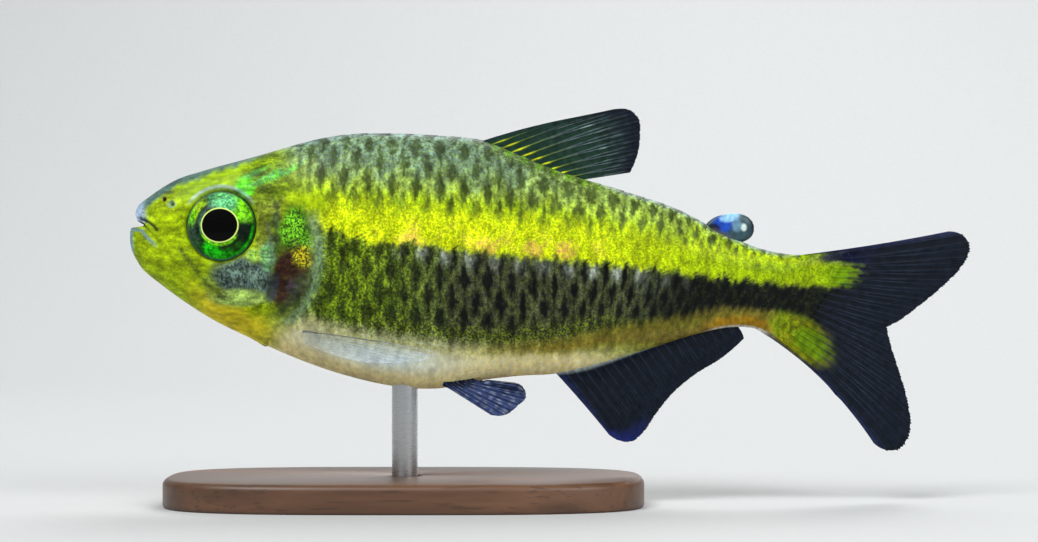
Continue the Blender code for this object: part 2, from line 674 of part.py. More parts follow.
def stand_rod(finish):
    """A round rod whose top is hollowed to the belly that it carries."""
    foot = -MIDLINE_HEIGHT + BASE_THICK - SOCKET_DEPTH + GAP
    piece = upright("stand_rod", ROD_RADIUS, foot, edge_z(ROD_X, belly=True) + 1.5, finish=finish)
    combine(piece, body_mesh("belly", GAP), "DIFFERENCE")
    keep_largest(piece)
    smooth_shading(piece)


def main():
    clear_scene()
    skin = {name: material(name + " skin", colour, 0.35) for name, colour in FISH_COLOURS.items()}
    head(skin["head"])
    lower_jaw(skin["head"])
    torso(skin["flank"])
    tail(skin["back"])
    dorsal_fin(skin["fin"])
    adipose_fin(skin["adipose"])
    anal_fin(skin["fin"])
    tail_fin_lobes(skin["fin"])
    for side, hand in ((-1, "left"), (1, "right")):
        eyeball(side, "eye_" + hand, skin["eye"])
        gill_cover(side, "gill_cover_" + hand, skin["head"])
        pectoral_fin(side, "pectoral_fin_" + hand, skin["fin"])
        pelvic_fin(side, "pelvic_fin_" + hand, skin["fin"])
    stand_base(material("oiled walnut", (0.16, 0.08, 0.04, 1.0), 0.5))
    stand_rod(material("brushed steel", (0.62, 0.62, 0.63, 1.0), 0.3, 1.0))


main()
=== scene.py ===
"""The looks of the green-eyed moenkhausia: skin, scales, fins, eyes and stand, with the studio round them.

The fish's shape is worked out in millimetres in its own frame: x runs from the tip of the lower jaw back to
the tail, y to the fish's right, and z up from the middle of its flank. mesh_object turns that into the
frame's metres. side is -1 on the fish's left, which faces the camera, and 1 on its right.
"""

import math
from collections import namedtuple

import bpy
import numpy as np
from bpy.props import FloatProperty, FloatVectorProperty, IntProperty, PointerProperty
from bpy.types import Operator, Panel, PropertyGroup
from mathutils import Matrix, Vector


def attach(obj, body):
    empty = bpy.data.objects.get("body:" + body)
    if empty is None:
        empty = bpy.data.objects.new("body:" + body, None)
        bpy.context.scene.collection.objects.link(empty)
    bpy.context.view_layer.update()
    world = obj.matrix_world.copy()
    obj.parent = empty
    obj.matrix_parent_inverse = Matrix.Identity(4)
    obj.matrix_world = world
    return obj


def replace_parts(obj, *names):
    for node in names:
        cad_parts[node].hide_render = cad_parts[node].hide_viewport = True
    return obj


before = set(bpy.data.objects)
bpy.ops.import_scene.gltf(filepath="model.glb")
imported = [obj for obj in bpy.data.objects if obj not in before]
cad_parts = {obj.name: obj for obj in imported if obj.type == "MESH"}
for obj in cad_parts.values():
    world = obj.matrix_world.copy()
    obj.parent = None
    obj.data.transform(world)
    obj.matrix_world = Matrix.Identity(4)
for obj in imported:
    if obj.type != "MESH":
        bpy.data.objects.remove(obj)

bl_info = {
    "name": "Green-eyed moenkhausia",
    "version": (1, 0, 0),
    "blender": (4, 5, 0),
    "location": "3D View > Sidebar > Moenkhausia",
    "description": "Builds the finish of a life-size display model of a green-eyed moenkhausia",
    "category": "Object",
}

MM = 0.001
ROD_X = 21.3
BASE_LENGTH, BASE_WIDTH, BASE_THICK = 37.0, 21.0, 2.2
LOWEST_TIP = 14.90
TIP_CLEARANCE = 1.65
MIDLINE_HEIGHT = BASE_THICK + TIP_CLEARANCE + LOWEST_TIP
ROD_RADIUS = 1.0
SOCKET_DEPTH = 1.2
GAP = 0.3
BASE_SQUARED = 0.62  # 1 would be an ellipse, and 0 a rectangle
BASE_ROUND, BASE_BEVEL = 0.5, 0.25  # radii of the base's upper and lower edges
FLAT_INSET = 2.0  # where the base's flat faces begin, inside its outline
HOLE_BEVEL = 0.12
ROD_BEVEL = 0.1
ROD_SIDES = 96
ROD_SINKS = 0.5  # how far the rod goes up into the skin of the belly
VIEW_X, VIEW_Z = 30.15, -0.70  # the middle of the photo
VIEW_AWAY = 223.4  # how far off the camera stands to show the fish as large as the photo does
SHARP_STAND, SHARP_ROD, SHARP_SCALE = 50, 40, 50  # edges that turn by more degrees stay sharp
FLANKS = ((-1, "left"), (1, "right"))

# The body is a row of rings, each through one point of the back and one of the belly.
# wide is half the ring's width. roof and keel say how full its upper and lower halves are:
# 1 is an ellipse, less is boxier and more is a keel.
Ring = namedtuple("Ring", "back_x back_z belly_x belly_z wide roof keel")
RINGS = [
    Ring(0.36, 2.95, 0.36, 2.95, 0.00, 1.00, 1.00),  # where the lips meet
    Ring(0.48, 3.48, 0.10, 2.40, 0.66, 1.00, 1.00),
    Ring(0.66, 4.32, 0.08, 1.25, 1.12, 0.98, 0.98),  # lips
    Ring(1.62, 5.12, 0.74, -0.20, 1.68, 0.94, 0.96),
    Ring(3.45, 6.28, 2.70, -1.95, 2.34, 0.88, 1.00),  # nostrils
    Ring(5.85, 7.10, 5.85, -4.12, 2.92, 0.82, 1.05),
    Ring(9.90, 8.20, 9.70, -6.05, 3.55, 0.82, 1.05),  # behind the eye
    Ring(13.65, 9.30, 13.20, -7.58, 3.90, 0.90, 0.95),  # gill opening
    Ring(16.90, 9.88, 16.65, -8.76, 4.00, 0.98, 0.88),
    Ring(20.50, 9.95, 20.50, -9.62, 3.95, 1.02, 0.85),
    Ring(24.00, 9.78, 24.00, -9.79, 3.78, 1.06, 0.85),  # pelvic fins
    Ring(27.30, 9.42, 27.30, -9.15, 3.52, 1.10, 0.92),  # front of the dorsal fin
    Ring(29.90, 8.42, 30.25, -8.82, 3.25, 1.12, 1.05),
    Ring(33.30, 7.02, 32.80, -8.68, 2.98, 1.12, 1.15),  # vent
    Ring(37.95, 5.62, 36.05, -8.00, 2.55, 1.10, 1.20),
    Ring(42.60, 4.05, 40.30, -6.72, 2.08, 1.08, 1.15),
    Ring(46.50, 2.02, 44.20, -5.55, 1.65, 1.02, 1.05),
    Ring(49.45, 0.92, 46.65, -5.08, 1.35, 0.95, 0.95),
    Ring(52.15, 0.55, 48.65, -5.22, 1.08, 0.90, 0.90),  # root of the tail fin
    Ring(53.90, 0.70, 49.95, -5.80, 0.60, 0.95, 0.95),  # skin thins out over the tail fin's rays
    Ring(56.20, 0.95, 51.60, -7.25, 0.06, 1.00, 1.00),
]
MOUTH_RING, LIP_RING, SNOUT_RING, GILL_RING, DORSAL_RING = 1, 2, 3, 7, 11
RUMP_RING, ANAL_FIN_RING, TAIL_STALK_RING, TAIL_ROOT_RING = 12, 14, 16, 18
WIDEST_ABOVE_MIDDLE = 0.10
SLOPE_STEP = 0.02  # how far to each side the skin is read for its slope
HALVINGS = 40  # how often place_on_body halves the stretch that it searches
EDGE_SAMPLES = 400  # places along the body at which its back and belly are read
GIRTH = 46.0  # round the deepest body
SKIN_SIDES, HEAD_RINGS, BODY_RINGS = 300, 200, 120
SCALE_LONG, SCALE_TALL = 2.05, 1.06  # a scale's length in pitches, and half its height in rows
SCALE_ROOT = 0.62  # the share of a scale that lies ahead of its middle
SCALE_ROUND = 0.42  # the share of its length by which a scale's corners fall back
SCALE_TAPER = 0.12  # how much narrower a scale is at its root
MARK_LONG, MARK_TALL = 0.30, 0.95  # half the size of a dark mark, in pitches and in rows
MARK_AT = 0.66  # a mark's middle, in pitches behind its scale's
SCALE_GRID = 13  # vertices along a scale and across it
MOST_TURN = 0.7  # half of how far a scale may reach round the body, in radians
ROWS_EACH_WAY = 16  # enough rows over the lateral line, and under it, to cover the body
ROW_MARGIN = 0.25  # how much of a row has to fit beside the back and the belly
LAST_SCALE = 1.6  # how far ahead of the skin's end the last scales have their middles
FIRST_SCALE = 0.35  # how far behind the gill opening the first ones have theirs
MAP_CELL = 0.40  # the share of its room in the map that each scale takes
BEND_FROM = 26.0
BEND_RATE = 0.0030

# Lines in side view, as (x, z).
GILL_LINE = [(10.9, 10.5), (12.0, 7.6), (13.1, 5.6), (14.05, 3.6), (14.50, 1.7), (14.52, 0.0), (14.12, -1.8),
             (13.35, -3.3), (12.1, -4.6), (11.2, -5.4), (10.5, -6.9)]
MOUTH_LINE = [(-2.0, 2.95), (0.85, 2.95), (1.25, 2.86), (1.60, 2.50), (2.15, 2.02), (2.62, 1.38)]
LIP_CREASE = [(0.95, 3.36), (1.30, 3.24), (1.62, 3.06), (2.02, 2.80), (2.36, 2.46)]
JAW_SEAM = [(2.70, 1.22), (3.45, 0.10), (4.45, -1.30), (5.60, -3.00)]
LIP_RIM = [(0.22, 2.55), (1.15, 2.40), (1.55, 1.88), (2.40, 1.15)]
CHEEK_LINE = [(4.20, 0.95), (5.05, -0.20), (6.10, -1.55), (7.40, -2.75)]
CHEEK_RIDGE = [(10.95, 2.9), (11.25, 1.3), (11.30, -0.6), (11.12, -2.2), (10.5, -3.1), (9.2, -3.75),
               (7.0, -4.0)]
EYE_CENTRE = (7.34, 2.77)
EYE_RADIUS = 2.72
EYE_HALF_DEPTH = 1.45
EYE_STANDS_OUT = 0.55
EYE_YAW = 0.35  # how much of the skin's forward slant the eye follows
PUPIL_OVAL = 0.92  # the pupil's height over its length
EYE_SIDES, EYE_RINGS = 128, 72
MOUTH_DEPTH = 0.95
NOSTRILS = [((2.92, 4.80), 0.15), ((3.48, 4.50), 0.19)]

# Edges of the markings in side view.
STRIPE_TOP = [(10.0, 5.3), (15.5, 4.5), (25.0, 3.8), (33.3, 3.1), (39.3, 2.1), (44.2, 1.1), (48.0, 0.35),
              (51.9, 0.0), (56.2, -0.35)]
STRIPE_LOW = [(13.0, 2.9), (15.7, 2.4), (19.0, 1.35), (22.2, 1.4), (24.3, 1.0), (28.6, 0.5), (32.5, 0.2),
              (39.3, -0.45), (44.2, -1.1), (48.0, -1.5), (51.9, -1.9), (56.2, -2.0)]
BAND_LOW = [(13.5, -4.5), (16.0, -5.25), (20.9, -6.1), (24.8, -6.5), (28.7, -6.6), (33.3, -6.2),
            (37.0, -5.4), (40.3, -4.9), (43.0, -4.55), (46.2, -3.8), (49.6, -4.0), (52.6, -4.9),
            (56.0, -6.6)]
GLINTS = [(21.8, 1.6), (27.7, 1.1), (31.3, 0.9), (33.7, 0.85)]  # middles of the orange glints
LATERAL_LINE = [(12.0, 1.9), (24.0, 0.6), (33.0, -0.4), (42.0, -1.5), (50.0, -2.2), (57.0, -3.2)]


def linear(code):
    """Blender's linear colour for an sRGB hex value."""
    shares = [int(code[i:i + 2], 16) / 255 for i in (1, 3, 5)]
    return tuple(c / 12.92 if c <= 0.04045 else ((c + 0.055) / 1.055) ** 2.4 for c in shares)


def tint(name, code, description):
    """A colour that the user can change."""
    return FloatVectorProperty(name=name, description=description, default=linear(code), size=3, min=0.0,
                               max=1.0, subtype="COLOR")


def length(name, millimetres, description):
    """A size that the user can change."""
    return FloatProperty(name=name, description=description, default=millimetres * MM, min=0.0,
                         precision=5, unit="LENGTH")


class SkinLooks(PropertyGroup):
    # The lips' blue-white is also painted light: a highlight along the snout's front edge, over the eye's
    # upper lid and along the crest of the back
    lip: tint("Lips", "#b4cbe6", "Translucent blue-white skin at the tip of the snout")
    jaw_edge: tint("Jaw edge", "#5f858c", "Grey-teal skin along the lower lip")
    crown: tint("Crown", "#486670", "Grey-blue edge along the top of the head")
    brow: tint("Brow", "#9cc41e", "Bright skin over the eye")
    snout: tint("Snout", "#a8c608", "Acid yellow-green of the snout and the front of the cheek")
    # The head's dark olive, also used as painted shade along the mouth's corner
    snout_dark: tint("Snout mottling", "#5c7210", "Dark olive mottling of the head")
    throat: tint("Throat", "#dcc828", "Gold along the throat")
    cheek: tint("Cheek", "#2d3740", "Blue-grey plates behind and under the eye")
    cheek_dark: tint("Behind the eye", "#8a9632", "Grey-brown skin behind the eye")
    cheek_net: tint("Cheek network", "#7c9c88", "Paler lines between the cheek's cells")
    cheek_low: tint("Lower cheek", "#b4d866", "Pale green lower part of the cheek")
    gill_dark: tint("Gill cover", "#2c5018", "Dark ground under the gill cover's flecks")
    glitter: tint("Gill glitter", "#7ad026", "Bright green flecks on the gill cover")
    gold: tint("Gill gold", "#ecd220", "Gold flecks low on the gill cover")
    gill_patch: tint("Gill patch", "#46221f", "Maroon of the gills that shows through the cover")
    # painted shadow: purple-grey, low on the gill patch
    gill_shadow: tint("Gill shadow", "#4c4258", "Purple-grey lower part of the gill patch")
    gill_rim: tint("Gill rim", "#7f9f86", "Grey-green skin round the gill opening")
    nape: tint("Nape", "#7c9c0e", "Olive green behind the eye and on the nape")
    nape_green: tint("Nape green", "#58e01e", "Bright green over the rear of the eye")
    breast: tint("Breast", "#eadfa6", "Pinkish cream of the breast")
    belly: tint("Belly", "#f2e08c", "Cream of the belly")
    belly_silver: tint("Belly silver", "#dcf0f2", "Silver sheen on the front of the belly")
    belly_top: tint("Top of the belly", "#a4aa6a", "Yellow-grey where the flank pales into the belly")
    belly_orange: tint("Belly orange", "#7d5f22", "Orange-brown under the dark band")
    vent_orange: tint("Rear orange", "#a87c10", "Bright orange along the rear of the belly")
    rear_belly: tint("Rear belly", "#7c7632", "Olive tan over the anal fin")
    back_top: tint("Top of the back", "#74928a", "Pale blue-grey of the uppermost scales")
    back_low: tint("Lower back", "#a8d41a", "Yellow-green just over the stripe")
    dorsal_foot: tint("Foot of the dorsal fin", "#54a81a", "Row of bright green dots along the fin's base")
    back: tint("Back", "#a4c266", "Grey-green to olive of the back")
    back_fleck: tint("Back flecks", "#9fbf3c", "Yellow-green flecks among the back's scales")
    stripe: tint("Stripe", "#acc804", "Ground of the chartreuse stripe")
    stripe_fleck: tint("Stripe flecks", "#eefb14", "Bright grains of the stripe")
    stripe_rear: tint("Rear of the stripe", "#86a804", "Duller green-yellow of the stripe on the tail root")
    glint: tint("Stripe glints", "#f2ac62", "Orange-pink glints along the stripe's lower edge")
    pearl: tint("Pearl", "#b0b6a8", "Pale scale centres right under the stripe")
    band_front: tint("Front of the band", "#4e6c1a", "Olive front part of the dark band")
    band: tint("Band", "#3a4238", "Middle of the dark band, between its smudges")
    band_fleck: tint("Band flecks", "#6e7436", "Olive grains of the dark band")
    band_rear: tint("Rear of the band", "#090c0e", "Near-black band on the tail root")
    # The scales' dark pigment, also used as painted shade in the lip's crease and in the mouth's opening
    smudge: tint("Smudge", "#0b0e0d", "Dark pigment on the scales")
    back_smudge: tint("Back smudge", "#33421a", "Dark olive pigment on the scales of the back")
    tail_patch: tint("Tail patch", "#6f8a0a", "Yellow-green patches at the root of the tail fin")
    tail_green: tint("Tail green", "#548c0e", "Green fringe where the skin ends over the rays")
    fin_root: tint("Root of the tail fin", "#0f151f", "Smoky skin over the foot of the rays")
    violet: tint("Violet", "#2a2c5c", "Blue-violet flecks at the fin's root")
    scale_pitch: length("Scale pitch", 1.86, "Way from one scale to the next along a row")
    scale_row: length("Row spacing", 1.70, "Way from one row of scales to the next, on the deepest body")
    scale_thick: length("Scale thickness", 0.02, "Thickness of a scale at its free edge")
    coat_depth: length("Coat depth", 0.05, "How deep the skin lies under the scales' outer surface")


class FinLooks(PropertyGroup):
    veil: tint("Membrane", "#0f1520", "Smoky blue-black membrane between the rays")
    ray: tint("Rays", "#263143", "Soft rays")
    ray_glint: tint("Ray glints", "#8fa6a4", "Pale stretches of the dorsal fin's rays")
    edge: tint("Leading edge", "#1c2548", "Blue-violet first rays")
    tip: tint("Anal fin tip", "#1a2562", "Bright blue tip of the anal fin")
    dorsal_veil: tint("Dorsal membrane", "#1e3a2c", "Dark green membrane over the back")
    dorsal_ray: tint("Dorsal rays", "#84a224", "Yellow-green foot of the dorsal fin's rays")
    # partly the fins' own pale colour and partly a painted silver sheen
    pectoral: tint("Pectoral fin", "#c6d2e2", "Silver-white of the pectoral fins")
    pelvic: tint("Pelvic fin", "#46578c", "Blue-white flecks of the pelvic fins")
    adipose_blue: tint("Adipose blue", "#1f49b4", "Royal-blue spot on the adipose fin")
    adipose_top: tint("Adipose top", "#92c6ea", "Pale blue upper edge of the adipose fin")
    adipose_grey: tint("Adipose grey", "#324c55", "Grey paddle of the adipose fin")
    # a painted highlight: the white spot in the middle of the paddle
    adipose_shine: tint("Adipose shine", "#dcefe8", "White spot in the middle of the paddle")
    membrane: length("Membrane", 0.06, "Half the membrane's thickness")
    ray_height: length("Ray height", 0.07, "How far a ray stands out of the membrane")


class EyeLooks(PropertyGroup):
    lime: tint("Iris lime", "#86ee12", "Bright upper rear of the iris")
    yellow: tint("Iris yellow", "#a2cc26", "Yellow-green arc at the upper front of the iris")
    # Mint: the iris's own tint on the front of the pupil's ring, and a painted reflection of the light above
    # on the iris's top
    mint_and_reflection: tint("Iris mint", "#78e092", "Turquoise top of the iris")
    green: tint("Iris green", "#1fdc14", "Bright patch low in front")
    deep: tint("Iris deep green", "#1d560c", "Deep green foot of the iris")
    dark: tint("Iris shade", "#121d16", "Dark front and rear of the iris")
    ring: tint("Pupil ring", "#dcee80", "Gold-white ring round the pupil")
    rim: tint("Rim", "#4a6a58", "Dark outer rim of the eye")
    pupil_radius: length("Pupil radius", 1.36, "Radius of the pupil, fore and aft")


class StandLooks(PropertyGroup):
    walnut: tint("Walnut", "#6d4a32", "Oiled heartwood")
    walnut_dark: tint("Walnut grain", "#3d2718", "Darker late wood")
    steel: tint("Steel", "#c3c5c6", "Brushed stainless steel")
    sides: IntProperty(name="Sides", description="Faces round the base's outline", default=240, min=48,
                       max=600)


class StageLooks(PropertyGroup):
    paper: tint("Backdrop", "#c3c5c5", "Matt studio paper")
    key_watts: FloatProperty(name="Key light", description="Power of the large soft light", default=2.9,
                             min=0.0, unit="POWER")


# Shape of the body


def round_turns(sides):
    """The turns of a circle's corners, in radians."""
    return 2 * math.pi * np.arange(sides) / sides


def smooth_rows(rows, knots, at):
    """A smooth curve through rows of numbers, each at its knot, read at the places in at."""
    rows, knots, at = np.asarray(rows, float), np.asarray(knots, float), np.asarray(at, float)
    step = np.diff(knots)
    slope = np.diff(rows, axis=0) / step[:, None]
    inner = (slope[:-1] * step[1:, None] + slope[1:] * step[:-1, None]) / (step[1:] + step[:-1])[:, None]
    inner = inner if len(inner) else slope
    tangent = np.vstack([2 * slope[0] - inner[0], inner, 2 * slope[-1] - inner[-1]])[:len(knots)]
    span = np.clip(np.searchsorted(knots, at, side="right") - 1, 0, len(step) - 1)
    t = ((at - knots[span]) / step[span])[:, None]
    width = step[span][:, None]
    return ((2 * t**3 - 3 * t**2 + 1) * rows[span] + (t**3 - 2 * t**2 + t) * width * tangent[span]
            + (3 * t**2 - 2 * t**3) * rows[span + 1] + (t**3 - t**2) * width * tangent[span + 1])


def smooth_line(points, count):
    """count points spaced along a smooth curve through the given ones."""
    points = np.asarray(points, float)
    knots = np.concatenate([[0], np.cumsum(np.linalg.norm(np.diff(points, axis=0), axis=1))])
    return smooth_rows(points, knots, np.linspace(0, knots[-1], count))


def ring_knots():
    """Where each ring stands along the body, by the way between the rings' middles and edges."""
    table = np.array(RINGS)
    steps = np.abs(np.diff(table[:, :5], axis=0))
    gaps = np.hypot(steps[:, [0, 2]].sum(1) / 2, steps[:, [1, 3]].sum(1) / 2)
    return np.concatenate([[0], np.cumsum(gaps)])


KNOTS = ring_knots()


def body_point(along, turn):
    """The skin at a place along the body, and a turn round it from the back at 0 to the belly at pi."""
    back_x, back_z, belly_x, belly_z, wide, roof, keel = smooth_rows(RINGS, KNOTS, along).T
    height = np.cos(turn) + WIDEST_ABOVE_MIDDLE * np.sin(turn) ** 2
    share = (1 + height) / 2
    fullness = keel + (roof - keel) * (1 + np.cos(turn)) / 2
    side = np.sign(np.sin(turn)) * np.abs(np.sin(turn)) ** fullness
    x = belly_x + (back_x - belly_x) * share
    z = belly_z + (back_z - belly_z) * share
    return np.stack([x, wide * side, z], axis=-1)


def body_normal(along, turn):
    """The way that the skin faces at places given as for body_point."""
    lengthways = body_point(along + SLOPE_STEP, turn) - body_point(along - SLOPE_STEP, turn)
    around = body_point(along, turn + SLOPE_STEP) - body_point(along, turn - SLOPE_STEP)
    normal = np.cross(lengthways, around)
    return normal / np.maximum(np.linalg.norm(normal, axis=-1, keepdims=True), 1e-9)


def place_on_body(x, z):
    """The (along, turn) of the skin's points on the fish's right at places in side view."""
    x, z = np.atleast_1d(x).astype(float), np.atleast_1d(z).astype(float)
    low, high = np.zeros(len(x)), np.full(len(x), KNOTS[-1])
    for _ in range(HALVINGS):
        middle = (low + high) / 2
        back_x, back_z, belly_x, belly_z = smooth_rows(RINGS, KNOTS, middle).T[:4]
        share = (z - belly_z) / np.maximum(back_z - belly_z, 1e-6)
        behind = x > belly_x + (back_x - belly_x) * share
        low, high = np.where(behind, middle, low), np.where(behind, high, middle)
    height = np.clip(2 * share - 1, -1, 1)
    lift = WIDEST_ABOVE_MIDDLE
    root = np.sqrt(np.maximum(1 - 4 * lift * (height - lift), 0))
    return middle, np.arccos(np.clip((1 - root) / (2 * lift), -1, 1))


def on_skin(x, z, side, out=0.0):
    """The skin's points at places in side view, moved out by out, with the skin's normals there."""
    along, turn = place_on_body(x, z)
    normal = body_normal(along, turn)
    mirror = np.array([1, side, 1])
    return (body_point(along, turn) + np.atleast_1d(out)[:, None] * normal) * mirror, normal * mirror


def edge_z(x, belly=False):
    """The height of the back, or of the belly, at x."""
    table = smooth_rows(RINGS, KNOTS, np.linspace(KNOTS[MOUTH_RING], KNOTS[-1], EDGE_SAMPLES))
    return np.interp(x, table[:, 2], table[:, 3]) if belly else np.interp(x, table[:, 0], table[:, 1])


def posed(points):
    """Adds the swimming bend."""
    points = np.array(points, float)
    points[:, 1] += BEND_RATE * np.maximum(points[:, 0] - BEND_FROM, 0) ** 2
    return points


def soft(value, low, high):
    """0 at low and 1 at high, with a smooth way between. low may be the greater."""
    share = np.clip((np.asarray(value, float) - low) / (high - low), 0, 1)
    return share * share * (3 - 2 * share)


def window(value, start, full, fade, end):
    """1 from full to fade, with a smooth way down to 0 at start and at end."""
    return soft(value, start, full) * soft(value, end, fade)


def hump(value, centre, half_width):
    """1 at the centre, falling away to nothing on both sides."""
    return np.exp(-((np.asarray(value, float) - centre) / half_width) ** 2)


def over(x, z, line):
    """How far places lie over a line in side view that runs lengthways."""
    line = np.array(line)
    return z - np.interp(x, line[:, 0], line[:, 1])


def spot(x, z, centre, size):
    """1 in the middle of an oval patch in side view, and 0 outside it."""
    return soft(np.hypot((x - centre[0]) / size[0], (z - centre[1]) / size[1]), 1.15, 0.6)


def line_distance(x, z, line):
    """How far places lie from a line in side view, positive on the tail's side of a line that runs down."""
    nearest, signed = np.full(len(x), 1e9), np.zeros(len(x))
    for (x0, z0), (x1, z1) in zip(line[:-1], line[1:]):
        run_x, run_z = x1 - x0, z1 - z0
        share = np.clip(((x - x0) * run_x + (z - z0) * run_z) / (run_x**2 + run_z**2), 0, 1)
        off_x, off_z = x - x0 - share * run_x, z - z0 - share * run_z
        away = np.hypot(off_x, off_z)
        closer = away < nearest
        nearest = np.where(closer, away, nearest)
        signed = np.where(closer, away * np.sign(run_x * off_z - run_z * off_x), signed)
    return signed


# Meshes


def link_object(name, data):
    """An object of the scene for a mesh, a light or a camera."""
    made = bpy.data.objects.new(name, data)
    bpy.context.scene.collection.objects.link(made)
    return made


def smooth_mesh(name, points, faces, finish):
    """An object with a smooth mesh from points in metres."""
    mesh = bpy.data.meshes.new(name)
    mesh.from_pydata(points, [], faces)
    mesh.shade_smooth()
    mesh.materials.append(finish)
    return link_object(name, mesh)


def mesh_object(name, points, faces, finish, swims=True):
    """A smooth mesh from points in the fish's frame that rides on the model's one body."""
    points = posed(points) if swims else np.asarray(points, float)
    points = (points + (-ROD_X, 0, MIDLINE_HEIGHT)) * MM
    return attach(smooth_mesh(name, points.tolist(), [tuple(f) for f in faces], finish), "root")


def store(piece, name, values):
    """Keeps one, three or four numbers for each vertex, for the material to read."""
    values = np.asarray(values, np.float32)
    kinds = {1: ("FLOAT", "value"), 3: ("FLOAT_VECTOR", "vector"), 4: ("FLOAT_COLOR", "color")}
    kind, key = kinds[1 if values.ndim == 1 else values.shape[1]]
    piece.data.attributes.new(name, kind, "POINT").data.foreach_set(key, values.ravel())


def bake_map(piece, places):
    """The OFBake map of a piece's colours. places has one (u, v) for each vertex."""
    corners = np.empty(len(piece.data.loops), int)
    piece.data.loops.foreach_get("vertex_index", corners)
    piece.data.uv_layers.new(name="OFBake").data.foreach_set("uv", np.asarray(places)[corners].ravel())


def grid_faces(rows, columns, closed=False):
    """Quads of a grid of vertices. A closed one joins its last column to its first."""
    i, j = np.meshgrid(np.arange(rows - 1), np.arange(columns if closed else columns - 1), indexing="ij")
    i, j = i.ravel(), j.ravel()
    here, beyond, beside = i * columns, (i + 1) * columns, (j + 1) % columns
    return np.stack([here + j, beyond + j, beyond + beside, here + beside], 1)


def ball_faces(rings, sides):
    """Faces of a closed grid, with a fan at each end round the two vertices that follow the grid's."""
    first, last = rings * sides, rings * sides + 1
    sectors = [(j, (j + 1) % sides) for j in range(sides)]
    return (grid_faces(rings, sides, closed=True).tolist() + [(first, a, b) for a, b in sectors]
            + [(last, first - sides + b, first - sides + a) for a, b in sectors])


def plate_faces(rows, columns):
    """Quads of a plate: its underside, its rim and its outer face, over two grids of vertices."""
    size = rows * columns
    outer = grid_faces(rows, columns)
    rim = [i * columns for i in range(rows)]
    rim += [(rows - 1) * columns + j for j in range(1, columns)]
    rim += [i * columns + columns - 1 for i in range(rows - 2, -1, -1)]
    rim += list(range(columns - 2, 0, -1))
    edge = np.array([(b, a, size + a, size + b) for a, b in zip(rim, rim[1:] + rim[:1])])
    return np.concatenate([outer[:, ::-1] + size, edge, outer])


# Materials


def add_node(tree, kind, inputs=None, out=0, **settings):
    """Adds a shader node, sets its properties, fills its sockets with values or links, gives an output."""
    node = tree.nodes.new("ShaderNode" + kind)
    for key, value in settings.items():
        setattr(node, key, value)
    for key, value in (inputs or {}).items():
        socket = node.inputs[key]
        if isinstance(value, bpy.types.NodeSocket):
            tree.links.new(value, socket)
        else:
            socket.default_value = (*value, 1.0) if socket.type == "RGBA" and len(value) == 3 else value
    return node.outputs[out]


def new_material(name, **constants):
    """A material with its Principled shader and the shader's own constant values."""
    made = bpy.data.materials.new(name)
    made.use_nodes = True
    tree = made.node_tree
    shader = tree.nodes["Principled BSDF"]
    for key, value in constants.items():
        socket = shader.inputs[key.replace("_", " ")]
        socket.default_value = (*value, 1.0) if socket.type == "RGBA" else value
    return made, tree, shader


def wire(tree, shader, **outputs):
    """Links what the nodes give to the shader's sockets."""
    for key, output in outputs.items():
        tree.links.new(output, shader.inputs[key.replace("_", " ")])


def dimmed(colour, share):
    """A colour with that share of its light."""
    return tuple(share * c for c in colour)


def grains(tree, millimetres, low, high, detail=2.0, to=(0.0, 1.0), stretch=(1, 1, 1), lean=0.0):
    """Flecks about that far apart: the first of to where the noise is under low, the second over high.

    stretch draws them out along x, y and z, and lean turns them in side view.
    """
    place = add_node(tree, "TexCoord", out="Object")
    place = add_node(tree, "Mapping", {"Vector": place, "Rotation": (0, lean, 0),
                                       "Scale": tuple(1 / share for share in stretch)})
    noise = add_node(tree, "TexNoise", {"Vector": place, "Scale": 1 / (millimetres * MM), "Detail": detail})
    return add_node(tree, "MapRange", {"Value": noise, "From Min": low, "From Max": high,
                                       "To Min": to[0], "To Max": to[1]})


